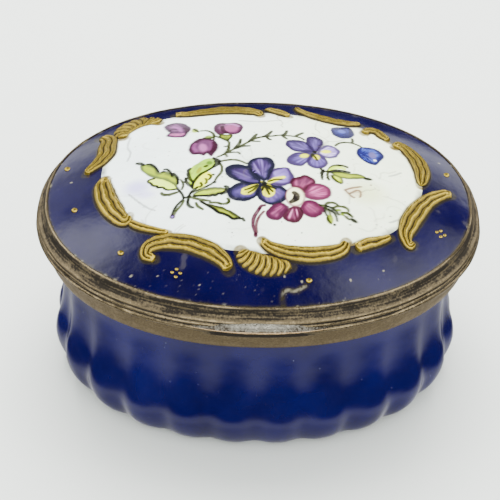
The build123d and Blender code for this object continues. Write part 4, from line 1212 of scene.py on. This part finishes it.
# Right leaves.
petal([(10.4, 0.1), (11.5, 0.3), (13, 0.2), (14.6, 0.3), (15.4, -0.2), (14.4, -0.6),
       (12.8, -0.9), (11.4, -0.8)], (10.3, 0), (136, 150, 4), (154, 172, 4),
      (64, 74, 30), 0.16)
petal([(10.4, -0.5), (10.8, -1.6), (11.6, -2.2), (12, -1.9), (11.9, -1), (11.2, -0.6)],
      (10.4, -0.4), (208, 232, 28), (172, 196, 4), (72, 80, 42), 0.14)
brush([(10, 0.3), (10.4, 1.2), (11, 1.8), (12, 2.1), (12.9, 1.8)], OLIVE, 0.4)
brush([(10.3, 0.7), (10.9, 1.3), (11.8, 1.5), (12.5, 1.3)], PALE_LIME, 0.4)
brush([(10.2, 0.2), (11, 0.6), (12, 0.7), (13.1, 0.6)], INK, 0.45)
dab(15.8, -0.45, 1.4, 0.7, INK)
brush([(10.5, -0.7), (11, -1.6), (11.7, -2.2)], OLIVE, 0.2)
brush([(9.9, 0), (9.85, -1), (10.05, -1.6)], OLIVE, 0.3)
brush([(8.9, 0.8), (9.4, 0.3), (10, 0.3)], OLIVE, 0.3)
brush([(9.3, 0.5), (9.05, -0.3), (9.05, -1.6)], INK, (0.4, 0.35, 0.15))

# Leaves and seed heads at the lower right.
for line, width, ink in [
        ([(8.6, -7.2), (9.3, -7.3)], 0.3, OLIVE),
        ([(9.3, -7.2), (9.5, -6.8), (10.1, -6.5), (10.7, -6.6), (11.1, -6.9)], 0.3, OLIVE),
        ([(9.5, -7.3), (10.2, -7.6), (10.8, -8.1), (11.2, -8.8)], 0.28, INK),
        ([(10.5, -7.5), (11.1, -7.15), (11.9, -7.15), (12.5, -7.5), (12.6, -7.9)], 0.3, MOSS),
        ([(11.6, -8.4), (12.2, -8.3), (12.7, -8.5), (13.1, -8.9)], 0.35, MOSS),
        ([(12, -8.9), (12.6, -9.5)], 0.25, OLIVE),
        ([(9.2, -7.6), (9.25, -8.4), (9.4, -9.1)], 0.22, INK),
        ([(9.3, -7.6), (9.8, -8.3), (10, -9.2)], 0.22, OLIVE),
        ([(9.7, -7.9), (10.4, -8.4), (10.8, -9.2), (10.9, -10)], 0.24, INK)]:
    brush(line, ink, width)
dab(11.2, -7.9, 0.8, 0.5, (88, 112, 4))
dab(11.7, -8.7, 0.6, 0.5, (88, 112, 4))
dab(13.3, -9.6, 1.3, 0.7, INK, turn=-30)
dab(9.9, -9.8, 1.0, 1.7, (116, 138, 4))
brush([(9.5, -9.2), (9.6, -10), (10, -10.6)], OLIVE, 0.2)
dab(10.5, -10.75, 0.45, 0.45, INK)
dab(12.75, -10.45, 0.25, 0.25, OLIVE)
dab(-0.7, -13.2, 0.6, 0.9, MAROON)
dab(-4, -12.8, 0.22, 0.22, INK, 0.6)
dab(5.8, -12.6, 0.25, 0.2, INK, 0.6)

# Age: a faint brown scratch, hair cracks and soiling along the panel's edge.
RUST = (74, 44, 26)
dab(13.6, -3.7, 2.6, 2.2, (196, 158, 130), 0.35, soft=0.5, lift=0)
for line in [[(12.2, -3.6), (13.5, -2.9), (14.8, -2.4)], [(12.3, -3.6), (13.2, -4.8), (13.6, -5)],
             [(13, -4.2), (14.2, -3.3), (14.6, -4), (14.4, -4.8)]]:
    brush(line, RUST, 0.14, 0.75, lift=0)
dab(16.2, -1.8, 0.3, 0.3, RUST, 0.7)
for line in [[(-19.5, 11), (-19.8, 8), (-19.2, 6), (-19.6, 4)],
             [(-19, -4), (-17.4, -6), (-16, -7.4), (-15, -8)],
             [(18.5, -9), (19.2, -8.6), (20, -8)], [(19, 1), (20, 1.6), (21, 2.5)],
             [(-3, 14.2), (0, 13.8), (3.4, 14.6)]]:
    brush(line, (98, 100, 98), 0.10, 0.5, soft=0.06, lift=-0.01)
HAIR_CRACKS = 46
SPECKS = 70
hairs = np.random.default_rng(5)
for _ in range(HAIR_CRACKS):
    crack_x, crack_y = hairs.uniform(-20, 21), hairs.uniform(-13, 15)
    bearing = hairs.uniform(0, 6.3)
    crack_line = []
    for _ in range(hairs.integers(5, 12)):
        crack_line.append((crack_x, crack_y))
        bearing += hairs.normal() * 0.5
        crack_x += math.cos(bearing) * 0.7
        crack_y += math.sin(bearing) * 0.7
    brush(crack_line, (92, 90, 74), 0.04, hairs.uniform(0.08, 0.32), soft=0.05, lift=-0.004)
for _ in range(SPECKS):
    dab(hairs.uniform(-21, 21), hairs.uniform(-14, 15), hairs.uniform(0.18, 0.34),
        hairs.uniform(0.18, 0.34), (70, 66, 54), hairs.uniform(0.15, 0.6), lift=0)
edge_gap = stretch * (1 - np.abs(ring_reach))
soiled = (1 - ease(edge_gap, 0.1, 1.1)) * (0.35 + 0.3 * grain(px, py, 1.6, 71))
lay(np.arange(len(px)), np.clip(soiled, 0, 0.8), colour_of((66, 66, 60)))
# Grime and painted shade along the foot of each raised scroll.
scroll_grime_and_shade = grime_and_shade_beside_scrolls(px, py) * (0.75 + 0.3 * grain(px, py, 1.2, 73))
lay(np.arange(len(px)), np.clip(scroll_grime_and_shade, 0, 0.95), colour_of((92, 78, 40)))
speck = ease(grain(px, py, 0.5, 77, 2), 1.28, 1.42)
lay(np.arange(len(px)), np.clip(speck, 0, 1) * 0.35, colour_of((52, 48, 40)))

enamel_white, tree, shader = new_finish("painted_white_enamel")
place = add_node(tree, "ShaderNodeTexCoord")
layer = read_layer(tree, "painting")
tree.links.new(layer.outputs["Color"], shader.inputs["Base Color"])
patchy_gloss(tree, shader, dict(Vector=place.outputs["Object"], Scale=260.0, Detail=4.0),
             dict(From_Min=0.35, From_Max=0.7, To_Min=0.14, To_Max=0.26))
rippled(tree, shader, dict(Vector=place.outputs["Object"], Scale=420.0, Detail=3.0), 0.08)
shader.inputs["IOR"].default_value = 1.5

row_length = PANEL_CELLS + 1
top = np.column_stack([px, py, dome(px, py) + np.clip(relief, -0.02, 0.05)])
border = (list(range(row_length)) + [k * row_length + PANEL_CELLS for k in range(1, row_length)]
          + [PANEL_CELLS * row_length + k for k in reversed(range(PANEL_CELLS))]
          + [k * row_length for k in reversed(range(1, PANEL_CELLS))])
under = top[border] - (0, 0, COAT)
first_under = len(top)
faces = []
for row in range(PANEL_CELLS):
    for k in range(PANEL_CELLS):
        corner = row * row_length + k
        faces.append((corner, corner + 1, corner + row_length + 1, corner + row_length))
around = len(border)
for k in range(around):
    nxt = (k + 1) % around
    faces.append((border[k], first_under + k, first_under + nxt, border[nxt]))
middle_ring = under * (0.5, 0.5, 1)
middle_ring[:, 2] = dome(middle_ring[:, 0], middle_ring[:, 1]) - COAT
first_middle = first_under + around
for k in range(around):
    nxt = (k + 1) % around
    faces.append((first_under + k, first_middle + k, first_middle + nxt, first_under + nxt))
faces.append(tuple(first_middle + k for k in reversed(range(around))))
panel = add_piece("lid_painted_panel", np.concatenate([top, under, middle_ring]), faces,
                  enamel_white, sharp=60)
colours = np.ones((len(top) + 2 * around, 4))
colours[:len(top), :3] = (np.clip(paint, 0, 1) + 0.055) ** 2.4 / 1.055**2.4
painting = panel.data.color_attributes.new("painting", "FLOAT_COLOR", "POINT")
painting.data.foreach_set("color", colours.ravel().astype(np.float32))
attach(panel, "lid")
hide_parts("lid_white_panel")

# ---------------------------------------------------------------------------------------
# Raised gilt scrolls: paste built up on the enamel, tooled into ribs, gilded and fired.
# Each follows stations of place and width; its ribs run along it, or fan across it.
# ---------------------------------------------------------------------------------------
raised_gilt = gilt_finish("raised_gilt", srgb(222, 192, 74), srgb(44, 35, 10), 0.26, 0.16)
SCROLL_RELIEF = 0.60
ACROSS = 33
for scroll_name, (ribs, way, knobs, stations) in SCROLLS.items():
    spine = follow(stations, 26)
    step = np.gradient(spine[:, :2], axis=0)
    side_on = np.stack([-step[:, 1], step[:, 0]], 1)
    side_on /= np.linalg.norm(side_on, axis=1, keepdims=True)
    along = np.linspace(0, 1, len(spine))[:, None]
    w = np.linspace(-1, 1, ACROSS)[None, :]
    run = np.concatenate([[0], np.cumsum(np.linalg.norm(np.diff(spine[:, :2], axis=0), axis=1))])
    to_end = np.minimum(run, run[-1] - run)[:, None]
    end_round = np.sqrt(np.clip(1 - (1 - np.clip(to_end / 0.7, 0, 1)) ** 2, 0.02, 1))
    half = spine[:, 2][:, None] / 2 * end_round * 1.06
    swing = np.sin(run[:, None] * 2.1 + len(scroll_name)) * 0.05
    x = spine[:, 0][:, None] + side_on[:, 0][:, None] * w * half
    y = spine[:, 1][:, None] + side_on[:, 1][:, None] * w * half
    if way == "along":
        rib = np.abs(np.sin(math.pi * ribs * (w + swing * (1 - w**2) + 1) / 2)) ** 0.8
    else:
        rib = np.abs(np.sin(math.pi * ribs * (along + 0.05 * w**2))) ** 0.8
        rib = rib + (1 - rib) * ease(-w * (1 if scroll_name == "scroll_upper_left" else -1), 0.5, 1)
    body_round = np.sqrt(np.clip(1 - np.abs(w) ** 3, 0, 1))
    height = SCROLL_RELIEF * body_round * end_round * (0.22 + 0.78 * rib)
    knob = np.zeros_like(height)
    for end, place in (("start", stations[0]), ("end", stations[-1])):
        if knobs in (end, "both"):
            reach = place[2] * 0.75
            away = np.hypot(x - place[0], y - place[1]) / reach
            knob = np.maximum(knob, np.sqrt(np.clip(1 - away**2, 0, 1)))
    height = np.maximum(height, SCROLL_RELIEF * knob * body_round**0.5)
    rib = np.maximum(rib, ease(knob, 0.3, 0.7))
    height *= 1 + 0.12 * grain(x.ravel(), y.ravel(), 1.1, 7).reshape(x.shape)
    z = dome(x, y) + np.clip(height, 0, SCROLL_RELIEF) - 0.06 * (np.abs(w) == 1)
    rows = len(spine)
    points = np.stack([x, y, z], 2).reshape(-1, 3)
    sunk = points.reshape(rows, ACROSS, 3)[:, (0, -1)].reshape(-1, 3) - (0, 0, 0.15)
    faces = []
    for row in range(rows - 1):
        for k in range(ACROSS - 1):
            corner = row * ACROSS + k
            faces.append((corner, corner + ACROSS, corner + ACROSS + 1, corner + 1))
        left_low, right_low = rows * ACROSS + 2 * row, rows * ACROSS + 2 * row + 1
        left, right_top = row * ACROSS, row * ACROSS + ACROSS - 1
        faces.append((left, left_low, left_low + 2, left + ACROSS))
        faces.append((right_top, right_top + ACROSS, right_low + 2, right_low))
        faces.append((left_low, right_low, right_low + 2, left_low + 2))
    start_low, end_low = rows * ACROSS, rows * ACROSS + 2 * (rows - 1)
    faces.append(tuple(range(ACROSS)) + (start_low + 1, start_low))
    last = (rows - 1) * ACROSS
    faces.append((end_low, end_low + 1) + tuple(last + k for k in reversed(range(ACROSS))))
    scroll = add_piece(scroll_name.replace("scroll", "gilt_scroll"),
                       np.concatenate([points, sunk]), faces, raised_gilt, sharp=70)
    soil_and_shade = (1 - rib) ** 0.7 * 1.35 - 0.12 + (1 - body_round) * 0.9
    set_values(scroll, "soil_and_shade", np.concatenate([soil_and_shade.ravel(), np.ones(len(sunk))]))
    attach(scroll, "lid")
    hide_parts(scroll_name)

# ---------------------------------------------------------------------------------------
# Gilt dots: little raised pearls of the same paste, single or in fours.
# ---------------------------------------------------------------------------------------
SINGLE_DOTS = [(-28.7, 5.3), (-26.8, -5.2), (-19.6, -14.7), (28.2, 5.0), (6.7, -20.0)]
DOT_CLUSTERS = [(-11.7, -18.8), (26.0, -9.0)]
dot_places = [(x, y, 0.46) for x, y in SINGLE_DOTS]
for x, y in DOT_CLUSTERS:
    dot_places += [(x - 0.56, y + 0.14, 0.27), (x + 0.06, y + 0.56, 0.27),
                   (x + 0.58, y - 0.08, 0.27), (x - 0.04, y - 0.56, 0.27)]

dot_tree = bpy.data.node_groups.new("raised_dots", "GeometryNodeTree")
dot_tree.interface.new_socket("Geometry", in_out="INPUT", socket_type="NodeSocketGeometry")
flat_in = dot_tree.interface.new_socket("Flatness", in_out="INPUT", socket_type="NodeSocketFloat")
metal_in = dot_tree.interface.new_socket("Gilding", in_out="INPUT",
                                         socket_type="NodeSocketMaterial")
dot_tree.interface.new_socket("Geometry", in_out="OUTPUT", socket_type="NodeSocketGeometry")
given = dot_tree.nodes.new("NodeGroupInput")
made = dot_tree.nodes.new("NodeGroupOutput")
pearl = dot_tree.nodes.new("GeometryNodeMeshUVSphere")
pearl.inputs["Segments"].default_value = 28
pearl.inputs["Rings"].default_value = 16
pearl.inputs["Radius"].default_value = 1.0
size_of = dot_tree.nodes.new("GeometryNodeInputNamedAttribute")
size_of.inputs["Name"].default_value = "radius"
shape = dot_tree.nodes.new("ShaderNodeCombineXYZ")
shape.inputs["X"].default_value = 1.0
shape.inputs["Y"].default_value = 1.0
dot_tree.links.new(given.outputs["Flatness"], shape.inputs["Z"])
sized = dot_tree.nodes.new("ShaderNodeVectorMath")
sized.operation = "SCALE"
dot_tree.links.new(shape.outputs["Vector"], sized.inputs["Vector"])
dot_tree.links.new(size_of.outputs["Attribute"], sized.inputs["Scale"])
place_all = dot_tree.nodes.new("GeometryNodeInstanceOnPoints")
dot_tree.links.new(given.outputs["Geometry"], place_all.inputs["Points"])
dot_tree.links.new(pearl.outputs["Mesh"], place_all.inputs["Instance"])
dot_tree.links.new(sized.outputs["Vector"], place_all.inputs["Scale"])
real = dot_tree.nodes.new("GeometryNodeRealizeInstances")
dot_tree.links.new(place_all.outputs["Instances"], real.inputs["Geometry"])
smooth = dot_tree.nodes.new("GeometryNodeSetShadeSmooth")
dot_tree.links.new(real.outputs["Geometry"], smooth.inputs["Geometry"])
gild = dot_tree.nodes.new("GeometryNodeSetMaterial")
dot_tree.links.new(smooth.outputs["Geometry"], gild.inputs["Geometry"])
dot_tree.links.new(given.outputs["Gilding"], gild.inputs["Material"])
dot_tree.links.new(gild.outputs["Geometry"], made.inputs["Geometry"])

dots = add_piece("gilt_pearls", [(x, y, dome(x, y) + 0.02) for x, y, _ in dot_places], [],
                 raised_gilt)
set_values(dots, "radius", [size * MM for _, _, size in dot_places])
grow = dots.modifiers.new("pearls", "NODES")
grow.node_group = dot_tree
grow[flat_in.identifier] = 0.62
grow[metal_in.identifier] = raised_gilt
graph = bpy.context.evaluated_depsgraph_get()
pearls = bpy.data.meshes.new_from_object(dots.evaluated_get(graph))
dots.modifiers.remove(grow)
dots.data = pearls
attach(dots, "lid")
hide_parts("gilt_dots")
